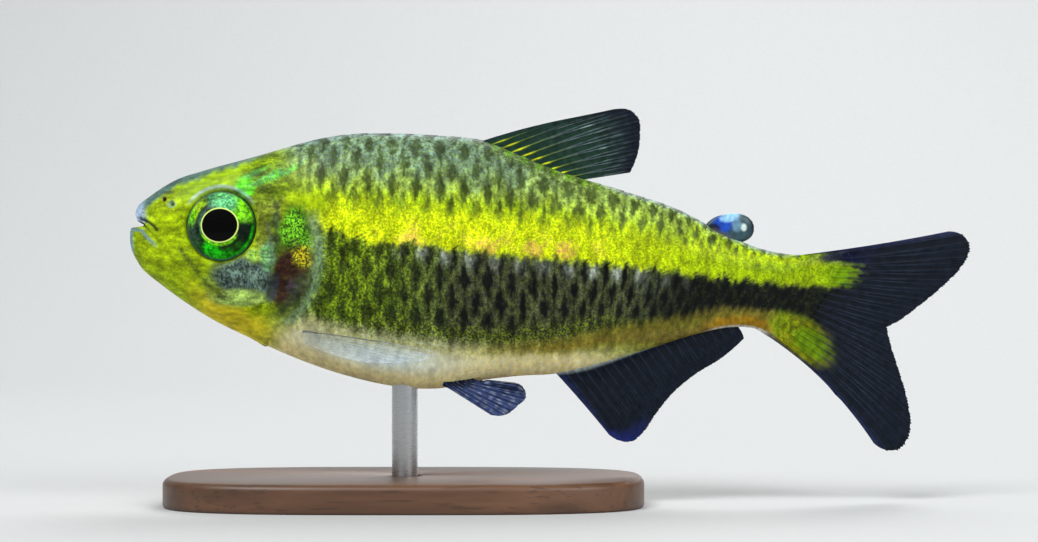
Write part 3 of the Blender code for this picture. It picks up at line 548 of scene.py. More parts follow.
def hide_material(name, looks, scaled):
    """Fish skin, wet and thinly coated with slime: pigment grains and mirror flecks under a clear gloss.

    The eye sees fine dark and bright grains in the colour, and soft highlights.
    Real pigment cells are about 0.05 mm; here they are drawn up to 0.2 mm so that they show.
    """
    made, tree, shader = new_material(name, Roughness=0.5, IOR=1.4, Specular_IOR_Level=0.10,
                                      Coat_Weight=0.08, Coat_Roughness=0.12, Coat_IOR=1.33)
    ground = add_node(tree, "Attribute", attribute_name="hide", out="Color")
    fleck = add_node(tree, "Attribute", attribute_name="fleck", out="Color")
    tone = add_node(tree, "Attribute", attribute_name="tone", out="Color")
    mottle = add_node(tree, "Attribute", attribute_name="tone", out="Alpha")
    glitter, soot, smudge = (add_node(tree, "SeparateXYZ", {0: tone}, out=n) for n in range(3))
    bright = add_node(tree, "Math", {0: grains(tree, 0.15, 0.43, 0.57), 1: glitter}, operation="MULTIPLY")
    colour = add_node(tree, "Mix", {0: bright, 6: ground, 7: fleck}, out=2, data_type="RGBA")
    black = add_node(tree, "Math", {0: grains(tree, 0.20, 0.48, 0.60, 3.0), 1: soot}, operation="MULTIPLY")
    colour = add_node(tree, "Mix", {0: black, 6: colour, 7: dimmed(looks.snout_dark, 0.35)}, out=2,
                      data_type="RGBA")
    height = grains(tree, 0.14, 0.2, 0.8, 3.0)
    if scaled:
        # each scale's dark mark is a diamond, ragged at its edge, that hangs together with its neighbours
        stretch, lean = (0.8, 1.0, 1.6), 0.0
        place = add_node(tree, "Attribute", attribute_name="scale_place", out="Vector")
        along = add_node(tree, "Math", {0: add_node(tree, "SeparateXYZ", {0: place}, out=0), 1: 0.5},
                         operation="PINGPONG")
        row = add_node(tree, "Math", {0: add_node(tree, "SeparateXYZ", {0: place}, out=1), 1: 1.0},
                       operation="PINGPONG")
        up = add_node(tree, "Math", {0: row, 1: 1 / MARK_TALL}, operation="MULTIPLY")
        this_row = add_node(tree, "Math", {0: along, 1: 1 / MARK_LONG, 2: up}, operation="MULTIPLY_ADD")
        next_row = add_node(tree, "Math", {0: 0.5 / MARK_LONG + 1 / MARK_TALL, 1: this_row},
                            operation="SUBTRACT")
        diamond = add_node(tree, "Math", {0: this_row, 1: next_row}, operation="MINIMUM")
        fray = grains(tree, 0.34, 0.3, 0.7, 3.0, (-0.4, 0.4), stretch)
        frayed = add_node(tree, "Math", {0: diamond, 1: fray}, operation="ADD")
        mark = add_node(tree, "MapRange", {"Value": frayed, "From Min": 1.45, "From Max": 0.35},
                        interpolation_type="SMOOTHSTEP")
        mark = add_node(tree, "Math", {0: mark, 1: smudge}, operation="MULTIPLY")
        dark = add_node(tree, "Attribute", attribute_name="smudge_colour", out="Color")
        colour = add_node(tree, "Mix", {0: mark, 6: colour, 7: dark}, out=2, data_type="RGBA")
    else:
        # pale lines between the cells of the cheek
        stretch, lean = (1.9, 1.0, 0.8), 0.45
        net = grains(tree, 0.24, 0.46, 0.56, 1.0, (0.0, 1.0), (0.8, 1.0, 1.3), -0.5)
        net = add_node(tree, "Math", {0: net, 1: smudge}, operation="MULTIPLY")
        colour = add_node(tree, "Mix", {0: net, 6: colour, 7: fleck}, out=2, data_type="RGBA")
    # uneven tone in patches of two sizes
    for size, dim, light in ((1.1, 0.52, 1.34), (0.42, 0.55, 1.38)):
        patches = grains(tree, size, 0.36, 0.64, 2.0, (dim, light), stretch, lean)
        shade = add_node(tree, "Mix", {0: mottle, 2: 1.0, 3: patches})
        colour = add_node(tree, "VectorMath", {0: colour, "Scale": shade}, operation="SCALE")
    bump = add_node(tree, "Bump", {"Strength": 0.3, "Distance": 0.012 * MM, "Height": height})
    wire(tree, shader, Base_Color=colour, Normal=bump)
    return made


def fin_material(name):
    """Fin membrane stretched between bony rays: thin, smoky and see-through, with a wet sheen."""
    made, tree, shader = new_material(name, Roughness=0.45, IOR=1.4, Specular_IOR_Level=0.06,
                                      Coat_Weight=0.04, Coat_Roughness=0.14, Coat_IOR=1.33)
    hide = add_node(tree, "Attribute", attribute_name="hide", out="Color")
    body = add_node(tree, "Attribute", attribute_name="body", out="Fac")
    patches = grains(tree, 0.5, 0.3, 0.7, 3.0, (0.6, 1.35))
    colour = add_node(tree, "VectorMath", {0: hide, "Scale": patches}, operation="SCALE")
    height = grains(tree, 0.15, 0.2, 0.8)
    bump = add_node(tree, "Bump", {"Strength": 0.3, "Distance": 0.01 * MM, "Height": height})
    wire(tree, shader, Base_Color=colour, Alpha=body, Normal=bump)
    return made


def adipose_material():
    """The fatty fin: soft, wet and half clear, so it is smooth and glossy with no rays."""
    made, tree, shader = new_material("adipose_flesh", Roughness=0.3, IOR=1.4, Specular_IOR_Level=0.3,
                                      Coat_Weight=0.15, Coat_Roughness=0.08, Coat_IOR=1.33)
    hide = add_node(tree, "Attribute", attribute_name="hide", out="Color")
    patches = grains(tree, 0.3, 0.3, 0.7, 3.0, (0.7, 1.25))
    wire(tree, shader, Base_Color=add_node(tree, "VectorMath", {0: hide, "Scale": patches},
                                           operation="SCALE"))
    return made


def eye_material(looks):
    """Moulded and polished glass eye: a flecked mirror iris under a clear, wet dome."""
    made, tree, shader = new_material("eye_glass", Roughness=0.4, IOR=1.33, Specular_IOR_Level=0.03,
                                      Coat_Weight=0.18, Coat_Roughness=0.03, Coat_IOR=1.3)
    place = add_node(tree, "Attribute", attribute_name="iris_place", out="Vector")
    radius = add_node(tree, "SeparateXYZ", {0: place}, out=0)
    pupil = add_node(tree, "SeparateXYZ", {0: place}, out=1)
    colour = add_node(tree, "Attribute", attribute_name="hide", out="Color")
    flecks = grains(tree, 0.22, 0.44, 0.60, 4.0)
    veins = add_node(tree, "Math", {0: flecks, 1: 0.62}, operation="MULTIPLY")
    colour = add_node(tree, "Mix", {0: veins, 6: colour, 7: looks.dark}, out=2, data_type="RGBA")
    patches = grains(tree, 0.45, 0.36, 0.64, 2.0, (0.62, 1.25))
    colour = add_node(tree, "VectorMath", {0: colour, "Scale": patches}, operation="SCALE")
    edges = ((pupil, 1.10, 1.05, looks.ring), (pupil, 1.02, 0.99, linear("#060606")),
             (radius, 0.90, 0.97, looks.rim))
    for value, edge, end, shade in edges:
        share = add_node(tree, "MapRange", {"Value": value, "From Min": edge, "From Max": end})
        colour = add_node(tree, "Mix", {0: share, 6: colour, 7: shade}, out=2, data_type="RGBA")
    bump = add_node(tree, "Bump", {"Strength": 0.4, "Distance": 0.02 * MM, "Height": flecks})
    wire(tree, shader, Base_Color=colour, Normal=bump)
    return made


def walnut_material(looks):
    """Walnut, sanded and oiled: brown heartwood with long dark pores and a low sheen.

    The pores have their real size, about 0.15 mm wide and 0.3 mm apart.
    """
    made, tree, shader = new_material("oiled_walnut", IOR=1.5, Coat_Weight=0.12, Coat_Roughness=0.3)
    place = add_node(tree, "TexCoord", out="Object")
    stretched = add_node(tree, "Mapping", {"Vector": place, "Scale": (0.10, 1.0, 1.0)})
    figure = add_node(tree, "TexNoise", {"Vector": stretched, "Scale": 1 / (2.6 * MM), "Detail": 4.0,
                                         "Distortion": 0.8})
    pores = add_node(tree, "TexNoise", {"Vector": stretched, "Scale": 1 / (0.28 * MM)})
    pore = add_node(tree, "MapRange", {"Value": pores, "From Min": 0.58, "From Max": 0.68})
    share = add_node(tree, "MapRange", {"Value": figure, "From Min": 0.3, "From Max": 0.7})
    colour = add_node(tree, "Mix", {0: share, 6: looks.walnut_dark, 7: looks.walnut}, out=2,
                      data_type="RGBA")
    deep = add_node(tree, "Math", {0: pore, 1: 0.6}, operation="MULTIPLY")
    colour = add_node(tree, "Mix", {0: deep, 6: colour, 7: looks.walnut_dark}, out=2, data_type="RGBA")
    rough = add_node(tree, "MapRange", {"Value": figure, "To Min": 0.36, "To Max": 0.55})
    level = add_node(tree, "Math", {0: 1.0, 1: pore}, operation="SUBTRACT")
    bump = add_node(tree, "Bump", {"Strength": 0.3, "Distance": 0.02 * MM, "Height": level})
    wire(tree, shader, Base_Color=colour, Roughness=rough, Normal=bump)
    return made


def steel_material(looks):
    """Stainless steel rod, drawn and brushed round: bright, with fine rings that stretch its highlight.

    Real brush marks are about 0.02 mm apart; here they are nearly 0.1 mm so that they show.
    """
    made, tree, shader = new_material("brushed_steel", Metallic=1.0)
    place = add_node(tree, "TexCoord", out="Object")
    turned = add_node(tree, "Mapping", {"Vector": place, "Scale": (0.2, 0.2, 8.0)})
    lines = add_node(tree, "TexNoise", {"Vector": turned, "Scale": 1 / (0.6 * MM), "Detail": 3.0})
    rough = add_node(tree, "MapRange", {"Value": lines, "To Min": 0.18, "To Max": 0.38})
    shade = add_node(tree, "Mix", {0: lines, 6: dimmed(looks.steel, 0.8), 7: looks.steel}, out=2,
                     data_type="RGBA")
    bump = add_node(tree, "Bump", {"Strength": 0.2, "Distance": 0.01 * MM, "Height": lines})
    wire(tree, shader, Base_Color=shade, Roughness=rough, Normal=bump)
    return made


def paper_material(looks):
    """Studio paper, matt and off a roll: even and dull, with a hint of fibre."""
    made, tree, shader = new_material("studio_paper", Roughness=0.9, IOR=1.45)
    fibre = grains(tree, 0.8, 0.3, 0.7, 3.0)
    wire(tree, shader, Base_Color=add_node(tree, "Mix", {0: fibre, 6: dimmed(looks.paper, 0.97),
                                                         7: looks.paper}, out=2, data_type="RGBA"))
    return made


# Markings


def paint(rows, layers):
    """Lays rows of numbers, such as colours, over one another, each by its own amount."""
    for amount, row in layers:
        rows += (np.array(row) - rows) * np.clip(amount, 0, 1)[:, None]
    return rows


def coat(colour, count):
    """One colour for each of count vertices, to paint others over."""
    return np.tile(np.array(colour, float), (count, 1))


def hide(looks, ground, fleck=None, glitter=0.0, soot=0.0, smudge=0.0, mottle=0.3):
    """The paint of a stretch of skin: its ground, its flecks, and how strongly each pattern shows.

    ground and fleck are names of the skin's colours. glitter is the flecks, soot the dark grains, smudge the
    dark marks on scales or the net of the cheek, and mottle the uneven tone.
    """
    colours = [*getattr(looks, ground), *getattr(looks, fleck or ground)]
    return np.array([*colours, glitter, soot, smudge, mottle])


def ragged(x, z, size):
    """An uneven wave about that size over the side view, from -1 to 1, which frays the edges of patches."""
    a, b = x / size, z / size
    waves = ((1.0, 2.1, 1.3, 0.0), (1.0, -2.7, 1.9, 1.0), (0.6, 4.3, 3.1, 2.0), (0.5, 3.7, -5.3, 0.0))
    return sum(high * np.sin(p * a + q * b + start) for high, p, q, start in waves) / 3.1


def body_layers(x, z, body):
    """The back, the stripe, the dark band and the belly, each layer as its amount and its paint for hide."""
    top, low, floor = over(x, z, STRIPE_TOP), over(x, z, STRIPE_LOW), over(x, z, BAND_LOW)
    depth, above_belly = edge_z(x) - z, z - edge_z(x, belly=True)
    drift, fray = ragged(x, z, 1.1), ragged(x, z, 0.4)
    waver = 0.30 * np.sin(3.38 * x) + 0.22 * np.sin(8.1 * x + 1.3) + 0.16 * np.sin(13.7 * x - 2.0 * z)
    waver *= 1 - 0.6 * soft(x, 47, 52)
    glow = sum(spot(x + 0.35 * fray, z + 0.3 * fray, place, (1.0, 0.85)) for place in GLINTS)
    fade = np.interp(x, [20, 28, 44, 50], [1.1, 0.8, 0.9, 0.5])
    floor_waver = 0.25 * waver + 0.15 * fray
    rise = np.interp(x, [40, 52], [1.1, 0.45])
    end = soft(x + 0.7 * fray + 0.5 * np.sin(11 * z + 2 * x) + 0.3 * (z + 1.1) ** 2, 57.6, 55.4)
    stripe = soft(top + 0.8 * waver * rise, rise, -rise) * soft(low + 0.7 * waver, -0.35, 0.35) * body * end
    band = soft(low + 0.7 * waver, 0.25, -0.35) * soft(floor + floor_waver, -fade, fade) * body
    belly = soft(floor + floor_waver, fade, -fade) * body
    middle = window(x, 18, 22, 35, 39)
    rear = soft(x + 2.0 * (above_belly - 0.6), 35, 41)
    clear = np.interp(x, [30, 38], [1.3, 0.5])
    brown = soft(x, 24, 31) * soft(above_belly + 0.3 * waver, clear, clear + 1.1) * soft(floor, -2.2, -0.2)
    return [
        (body * soft(top + drift, 1.3, 4.0) * soft(x, 37, 29),
         "back_top", "back_fleck", 0.5, 0.45, 0.85, 0.7),
        (body * soft(top + 0.5 * drift, 2.4, 0.4), "back_low", "stripe_fleck", 0.4, 0.4, 0.9, 0.7),
        # painted rim light: a pale blue-grey sheen along the crest of the back, ahead of the dorsal fin and
        # behind it
        (body * soft(depth + 0.12 * fray, 0.42, 0.05) * soft(x, 52, 50)
         * np.maximum(soft(x, 28, 26), soft(x, 36, 38)) * 0.8, "back_top", "lip", 0.4, 0.3, 0.8, 0.6),
        (body * soft(depth + 0.3 * fray, 1.5, 0.6) * window(x, 26.8, 28.4, 36, 38.5) * 0.75,
         "back_smudge", "back", 0.5, 0.4, 0.5, 0.9),
        (body * soft(depth, 0.7, 0.3) * window(x, 27.6, 28.6, 36, 37)
         * soft(np.sin(5.4 * x), 0.0, 0.8) * 0.75, "dorsal_foot", "stripe", 0.5, 0.3, 0.0, 0.5),
        (body * soft(x - 0.6 * z + 0.3 * fray, 52.2, 54.2), "fin_root", "violet", 0.5, 0.3, 0.0, 0.8),
        (stripe, "stripe", "stripe_fleck", 1.0, 0.3, 0.0, 0.45),
        (stripe * soft(x, 31, 49), "stripe_rear", "stripe", 0.9, 0.3, 0.0, 0.6),
        (stripe * soft(x + 0.5 * fray, 53.2, 56.0), "tail_green", "stripe_rear", 0.7, 0.4, 0.0, 0.9),
        (stripe * glow * 0.7, "glint", "stripe_fleck", 0.5, 0.25, 0.0, 0.6),
        (stripe * hump(low, 1.0, 0.9) * soft(drift, -0.1, 0.7) * middle * 0.45,
         "glint", "stripe_fleck", 0.9, 0.2, 0.0, 0.5),
        (band, "band", "band_fleck", 0.55, 0.65, 1.0, 0.8),
        (band * soft(x, 27, 17), "band_front", "stripe", 0.5, 0.75, 0.75, 1.0),
        (band * soft(x, 37, 44), "band_rear", "band", 0.15, 0.3, 1.0, 0.5),
        (band * soft(floor, 2.2, 0.4) * window(x, 16, 20, 34, 40), "band", "stripe", 0.7, 0.7, 0.5, 0.8),
        (band * hump(low, -0.55, 0.55) * soft(np.sin(3.38 * x), -0.2, 0.7) * window(x, 19, 24, 38, 44),
         "pearl", "back_top", 0.5, 0.5, 0.5, 0.7),
        (belly * (1 - rear) * (1 - 0.8 * brown), "belly", "belly_silver", 0.4, 0.0, 0.0, 0.25),
        (belly * soft(x, 19, 12), "breast", "belly", 0.5, 0.05, 0.0, 0.3),
        (belly * hump(x, 19.5, 6) * soft(floor, -0.3, -1.0) * soft(above_belly, 0.6, 1.9),
         "belly_silver", "belly", 0.3, 0.0, 0.0, 0.3),
        (belly * soft(floor + 0.2 * fray, -1.7, 0.1) * soft(x, 29, 23) * 0.75,
         "belly_top", "belly_silver", 0.3, 0.2, 0.0, 0.5),
        (belly * brown, "belly_orange", "vent_orange", 0.35, 0.3, 0.1, 0.6),
        (belly * rear, "rear_belly", "belly_orange", 0.5, 0.25, 0.0, 0.6),
        (belly * window(x, 43.5, 46, 49, 50.6) * soft(above_belly + 0.2 * fray, 1.3, 0.6),
         "vent_orange", "rear_belly", 0.3, 0.15, 0.0, 0.6),
        (belly * window(x, 44, 46, 49, 50.4) * soft(above_belly, 0.20, 0.08) * 0.5, "belly_silver"),
    ] + tail_layers(x, z, fray, body, floor)


def tail_layers(x, z, fray, body, floor):
    """The layers of the yellow-green patch that runs from under the tail's root out over the lower rays."""
    out, off = 0.835 * (x - 52.5) - 0.55 * (z + 6.1), 0.55 * (x - 52.5) + 0.835 * (z + 6.1)
    patch = spot(out + 0.3 * fray, off + 0.2 * fray, (0, 0), (3.4, 1.65)) * body * soft(floor, 1.6, 0.4)
    return [
        (body * soft(floor, 0.6, -0.2) * soft(out + 0.3 * fray, -0.8, 0.8),
         "fin_root", "violet", 0.5, 0.3, 0.0, 0.8),
        (patch, "tail_patch", "vent_orange", 0.5, 0.5, 0.0, 1.0),
        (patch * spot(out + 0.3 * fray, off, (0.7, 0.1), (2.2, 1.2)) * 0.8,
         "tail_green", "tail_patch", 0.8, 0.5, 0.0, 0.9),
        (patch * soft(out, -1.2, -2.8), "tail_patch", "stripe_rear", 0.6, 0.3, 0.0, 0.8),
    ]


def head_layers(x, z, head, gill):
    """The layers of the head, from the snout back to the gill opening."""
    ridge = line_distance(x, z, CHEEK_RIDGE)
    depth, above_belly = edge_z(x) - z, z - edge_z(x, belly=True)
    eye = np.hypot(x - EYE_CENTRE[0], z - EYE_CENTRE[1])
    off_eye = soft(eye, EYE_RADIUS, EYE_RADIUS + 0.23)
    drift, fray = ragged(x, z, 1.1), ragged(x, z, 0.4)
    streaks = 0.5 + 0.5 * np.sin(5.5 * (z - 0.45 * x) + 1.2 * drift)
    return [
        (head, "snout", "snout_dark", 0.35, 0.2, 0.0, 0.7),
        (head * soft(x + drift, 7.2, 9.6) * soft(z, 3.2, 4.6), "nape", "snout_dark", 0.45, 0.5, 0.0, 1.0),
        (head * soft(depth, 2.6, 1.4) * window(x, 3.0, 5.0, 8.4, 10.2), "brow", "snout", 0.5, 0.1, 0.0, 0.6),
        (spot(x + 0.3 * fray, z + 0.2 * fray, (9.25, 5.75), (0.85, 0.95)) * off_eye,
         "nape_green", "nape", 0.3, 0.3, 0.0, 0.9),
        (spot(x - 0.2 * (z - 6.6), z - 0.25 * (x - 11), (10.8, 6.7), (2.6, 0.75)) * streaks * 0.9,
         "nape_green", "gill_rim", 0.8, 0.5, 0.0, 0.9),
        (head * soft(above_belly + 0.4 * drift, 2.9, 1.3) * soft(x, 3.5, 7.0),
         "throat", "snout", 0.3, 0.05, 0.0, 0.5),
        (spot(x + 0.4 * drift, z, (13.4, 4.1), (2.2, 1.4)) * off_eye, "stripe", "nape", 0.4, 0.2, 0.0, 0.5),
        (head * soft(depth + 0.15 * fray + 0.12 * drift + 0.06 * x, 1.20, 0.60) * soft(x, 13.0, 9.0),
         "crown", "nape", 0.3, 0.3, 0.0, 0.5),
        # behind the eye, down to the blue-grey cheek
        (head * soft(x + 0.3 * fray, 9.6, 10.4) * soft(x + 0.4 * fray, 12.9, 11.7)
         * soft(z + 0.4 * fray, 5.4, 4.4) * soft(z, 0.6, 1.4) * off_eye * 0.65,
         "cheek_dark", "cheek", 0.4, 0.5, 0.0, 1.0),
        (head * soft(ridge, 0.0, 0.4) * window(z, -3.7, -2.7, 2.6, 4.2),
         "nape", "gill_dark", 0.5, 0.5, 0.0, 0.9),
        (spot(x + 0.5 * drift, z + 0.3 * drift, (9.2, -1.3), (3.1, 1.9)) * soft(ridge, 0.15, -0.15)
         * off_eye, "cheek", "cheek_net", 0.3, 0.55, 0.5, 0.9),
        (spot(x + 0.3 * drift, z, (8.6, -2.75), (2.5, 0.75)), "cheek_low", "cheek", 0.3, 0.3, 0.15, 0.7),
        (spot(x + 0.3 * fray, z, (11.0, 0.5), (0.7, 1.3)) * off_eye * 0.85,
         "cheek_net", "nape_green", 0.6, 0.6, 0.0, 0.9),
        (spot(x + 0.2 * fray, z, (9.8, 0.55), (0.6, 0.5)) * off_eye,
         "cheek_low", "glitter", 0.6, 0.5, 0.0, 0.8),
        (spot(x, z + 0.3 * fray, (11.0, 2.9), (0.8, 1.3)) * off_eye * 0.3,
         "gill_patch", "nape", 0.4, 0.5, 0.0, 0.9),
        (hump(x + 0.25 * fray, 11.65, 0.30) * window(z, -0.6, 1.0, 4.2, 5.2) * 0.75,
         "cheek", "smudge", 0.5, 0.5, 0.0, 0.8),
        (hump(ridge, 0.02, 0.16) * window(z, -3.4, -2.6, 3.4, 4.2) * 0.6,
         "cheek", "gill_rim", 0.5, 0.5, 0.0, 0.6),
        # gill cover
        (spot(x + 0.4 * fray, z + 0.4 * fray, (13.2, 2.1), (1.4, 2.6)) * head,
         "gill_dark", "glitter", 1.0, 0.5, 0.0, 0.8),
        (spot(x - 0.19 * (z + 1.0) + 0.25 * fray, z + 0.25 * fray, (12.7, -1.15), (1.95, 2.8))
         * soft(ridge, 0.0, 0.3), "gill_patch", "smudge", 0.5, 0.5, 0.0, 0.9),
        # painted shadow: purple-grey low on the gill patch, with flecks of it just behind the cheek's ridge
        (spot(x + 0.2 * fray, z, (12.9, -1.9), (0.5, 0.7)) * head * 0.8,
         "gill_shadow", "gill_patch", 0.4, 0.4, 0.0, 0.8),
        (spot(x - 0.2 * (z + 2), z, (11.35, -2.0), (0.5, 1.3)) * head * 0.9,
         "cheek", "gill_shadow", 0.4, 0.4, 0.0, 0.8),
        (spot(x + 0.3 * fray, z, (13.7, 0.35), (0.95, 0.95)) * head,
         "gill_dark", "gold", 0.8, 0.4, 0.0, 0.6),
        (hump(gill, 0.35, 0.42) * window(z, -5.2, -4.4, 3.0, 4.2) * 0.85,
         "gill_rim", "nape", 0.4, 0.5, 0.2, 0.9),
        (hump(gill, -0.6, 0.5) * soft(z + 0.4 * fray, -0.4, -1.4) * soft(z, -5.0, -3.6) * 0.65,
         "cheek", "band_front", 0.5, 0.6, 0.4, 0.9),
        (hump(line_distance(x, z, CHEEK_LINE), 0.0, 0.22) * 0.7, "snout_dark", "cheek", 0.5, 0.7, 0.0, 0.8),
        # nostrils, with painted shade in their pits, and a painted highlight over the eye's upper lid
        (spot(x, z, (3.48, 4.42), (0.42, 0.32)) * 0.7, "gill_rim"),
        # painted shade in the nostrils' pits
        (spot(x, z, (3.58, 4.42), (0.2, 0.17)), "cheek"),
        (spot(x, z, (2.92, 4.80), (0.2, 0.25)), "gill_patch"),
        (spot(x - 0.8 * (z - 5.35), z, (3.2, 5.35), (0.6, 0.16)) * 0.6, "cheek"),
        # painted highlight: a thin pale arc over the eye's upper lid
        (hump(eye, 3.0, 0.12) * soft(z, 4.2, 5.0) * 0.55, "lip"),
    ]


def lip_layers(x, z):
    """The layers of the lips, the edge of the lower jaw, and painted shade in the lip's crease and along the
    mouth.
    """
    mouth, fray = np.abs(line_distance(x, z, MOUTH_LINE)), ragged(x, z, 0.25)
    return [
        # the pale blue-white tip of the snout: translucent skin, with a painted highlight along its front
        # edge
        (soft(x + 0.15 * (z - 4) + 0.1 * fray, 1.7, 0.9) * soft(z, 2.9, 3.1),
         "lip", "crown", 0.5, 0.0, 0.0, 0.3),
        (soft(x, 0.50, 0.25) * soft(z, 3.0, 2.6), "jaw_edge", "lip", 0.5),
        (hump(line_distance(x, z, LIP_RIM), 0.0, 0.12) * soft(z, 3.1, 2.8) * soft(x, 2.5, 1.9),
         "jaw_edge", "lip", 0.4, 0.1),
        # painted shade: dark lines in the crease over the upper lip, in the mouth's open gap and along its
        # narrow corner
        (hump(line_distance(x, z, LIP_CREASE) + 0.05 * fray, 0.0, 0.15), "smudge"),
        (soft(mouth, mouth_gap(x) + 0.05, mouth_gap(x) - 0.03) * soft(x, 1.9, 1.2), "smudge"),
        (hump(mouth, 0.0, 0.08) * window(x, 1.1, 1.4, 2.4, 2.7) * 0.7, "snout_dark"),
    ]


def hide_paint(x, z, looks):
    """The skin's paint at places in side view, one row of hide's numbers for each."""
    gill = line_distance(x, z, GILL_LINE)
    wide = 0.3 + 1.6 * soft(z, 3.8, 6.2) + 1.3 * soft(z, -2.6, -4.6)
    head, body = soft(gill, wide, -wide), soft(gill, -wide, wide)
    rows = np.tile(hide(looks, "back", "back_fleck", 0.7, 0.45, 0.9, 0.7), (len(x), 1))
    layers = body_layers(x, z, body) + head_layers(x, z, head, gill) + lip_layers(x, z)
    return np.clip(paint(rows, [(amount, hide(looks, *row)) for amount, *row in layers]), 0, 1)


# Skin


def mouth_gap(x):
    """Half the height of the mouth's opening at x, from the lips to its corner."""
    return np.interp(x, [0.7, 1.1, 1.4, 2.6], [0.20, 0.12, 0.03, 0.015])


def eye_frame(side):
    """The middle of the eye on the skin, the way it looks, and its rearward and upward directions."""
    surface, normal = (row[0] for row in on_skin(*EYE_CENTRE, side))
    normal = normal * (EYE_YAW, 1, 1)
    normal /= np.linalg.norm(normal)
    rear = np.array([1.0, 0, 0]) - normal[0] * normal
    rear /= np.linalg.norm(rear)
    up = np.cross(rear, normal)
    return surface, normal, rear, up * np.sign(up[2])


def relief(points, looks):
    """How far the skin stands out of the plain body, at points on the body."""
    x, z = points[:, 0], points[:, 2]
    gill = line_distance(x, z, GILL_LINE)
    ridge = line_distance(x, z, CHEEK_RIDGE)
    mouth = np.abs(line_distance(x, z, MOUTH_LINE))
    # the open mouth, with the upper lip drawn back over it
    hollow = np.interp(x, [0.4, 1.0, 1.5, 2.7], [MOUTH_DEPTH, 0.5, 0.10, 0.0])
    lift = -hollow * np.exp(-(mouth / (mouth_gap(x) + 0.03)) ** 4)
    lift -= 0.30 * hump(z, 3.25, 0.36) * soft(x, 1.4, 0.6)
    # creases, each with its way off the line, its half width and its height
    for line, off, half_width, height in ((LIP_CREASE, 0.0, 0.10, -0.11), (LIP_CREASE, 0.26, 0.14, 0.05),
                                          (JAW_SEAM, 0.0, 0.16, -0.04), (CHEEK_LINE, 0.0, 0.20, -0.03)):
        lift += height * hump(line_distance(x, z, line), off, half_width)
    # the ridge of the cheek, the gill cover's rim and the bed that the scales lie in
    lift += (0.06 * hump(ridge, -0.02, 0.16) - 0.06 * hump(ridge, 0.28, 0.2)) * soft(z, 3.4, 2.0)
    edge = np.interp(gill, [-1.7, -0.9, -0.25, -0.06, 0.10, 0.30, 1.0],
                     [0, 0.06, 0.14, 0.10, -0.20, -0.18, 0])
    lift += edge * soft(z, 5.6, 3.0)
    spread = 0.4 + 1.6 * soft(z, 3.8, 6.0)
    lift -= looks.coat_depth / MM * soft(gill, 0.2 - spread, 0.2 + spread)
    # eye sockets and nostrils, each with a low rim
    for side, _ in FLANKS:
        surface, normal = eye_frame(side)[:2]
        reach = points - surface
        outward = reach @ normal
        away = np.linalg.norm(reach - outward[:, None] * normal, axis=1) / EYE_RADIUS
        here = np.abs(outward) < 2.5
        funnel = np.interp(away, [0.92, 0.98, 1.02, 1.08], [1.3, 0.8, 0.22, 0.0])
        lift += np.where(here, 0.06 * hump(away, 1.15, 0.07) - funnel, 0)
        for place, radius in NOSTRILS:
            off = np.linalg.norm(points - on_skin(*place, side)[0], axis=1)
            lift += 0.04 * hump(off, 1.4 * radius, 0.1) - 0.22 * np.exp(-(off / (0.85 * radius)) ** 4)
    return lift


def store_paint(piece, rows):
    """Keeps the skin's paint, one row of hide's numbers for each vertex."""
    store(piece, "hide", rows[:, :3])
    store(piece, "fleck", rows[:, 3:6])
    store(piece, "tone", rows[:, 6:])


def build_skin(looks, finish):
    """One closed skin from the lips to the tail fin's root, with the head's folds in it."""
    ahead = np.linspace(0, KNOTS[GILL_RING], HEAD_RINGS)
    behind = np.linspace(KNOTS[GILL_RING], KNOTS[-1], BODY_RINGS + 1)
    at = np.concatenate([ahead[1:], behind[1:]])
    along, turn = (grid.ravel() for grid in np.meshgrid(at, round_turns(SKIN_SIDES), indexing="ij"))
    plain = body_point(along, turn)
    x, z = plain[:, 0], plain[:, 2]
    points = plain + relief(plain, looks)[:, None] * body_normal(along, turn)
    # the back of the mouth's hollow closes the front end
    nose = body_point(np.array([0.0]), np.array([0.0])) + (MOUTH_DEPTH, 0, 0)
    end = points[-SKIN_SIDES:].mean(axis=0)[None]
    faces = ball_faces(len(at), SKIN_SIDES)
    piece = mesh_object("skin", np.concatenate([points, nose, end]), faces, finish)
    x, z = np.append(x, [0.5, end[0, 0]]), np.append(z, [2.92, end[0, 2]])
    painted = hide_paint(x, z, looks)
    painted[:, 8] *= soft(line_distance(x, z, GILL_LINE), 0.6, -0.2)  # only the cheek has a net
    store_paint(piece, painted)
    return piece


# Scales


def row_table(samples=160, turns=241):
    """For places along the body: the turns round one side, and how far each is over the lateral line."""
    at = np.linspace(KNOTS[SNOUT_RING], KNOTS[-1], samples)
    turn = np.linspace(0, math.pi, turns)
    along, around = np.meshgrid(at, turn, indexing="ij")
    points = body_point(along.ravel(), around.ravel()).reshape(samples, turns, 3)
    girth = np.cumsum(np.linalg.norm(np.diff(points, axis=1), axis=2), axis=1)
    girth = np.concatenate([np.zeros((samples, 1)), girth], axis=1)
    height = over(points[..., 0], points[..., 2], LATERAL_LINE)
    middle = np.array([np.interp(0.0, -height[i], girth[i]) for i in range(samples)])
    return at, turn, middle[:, None] - girth


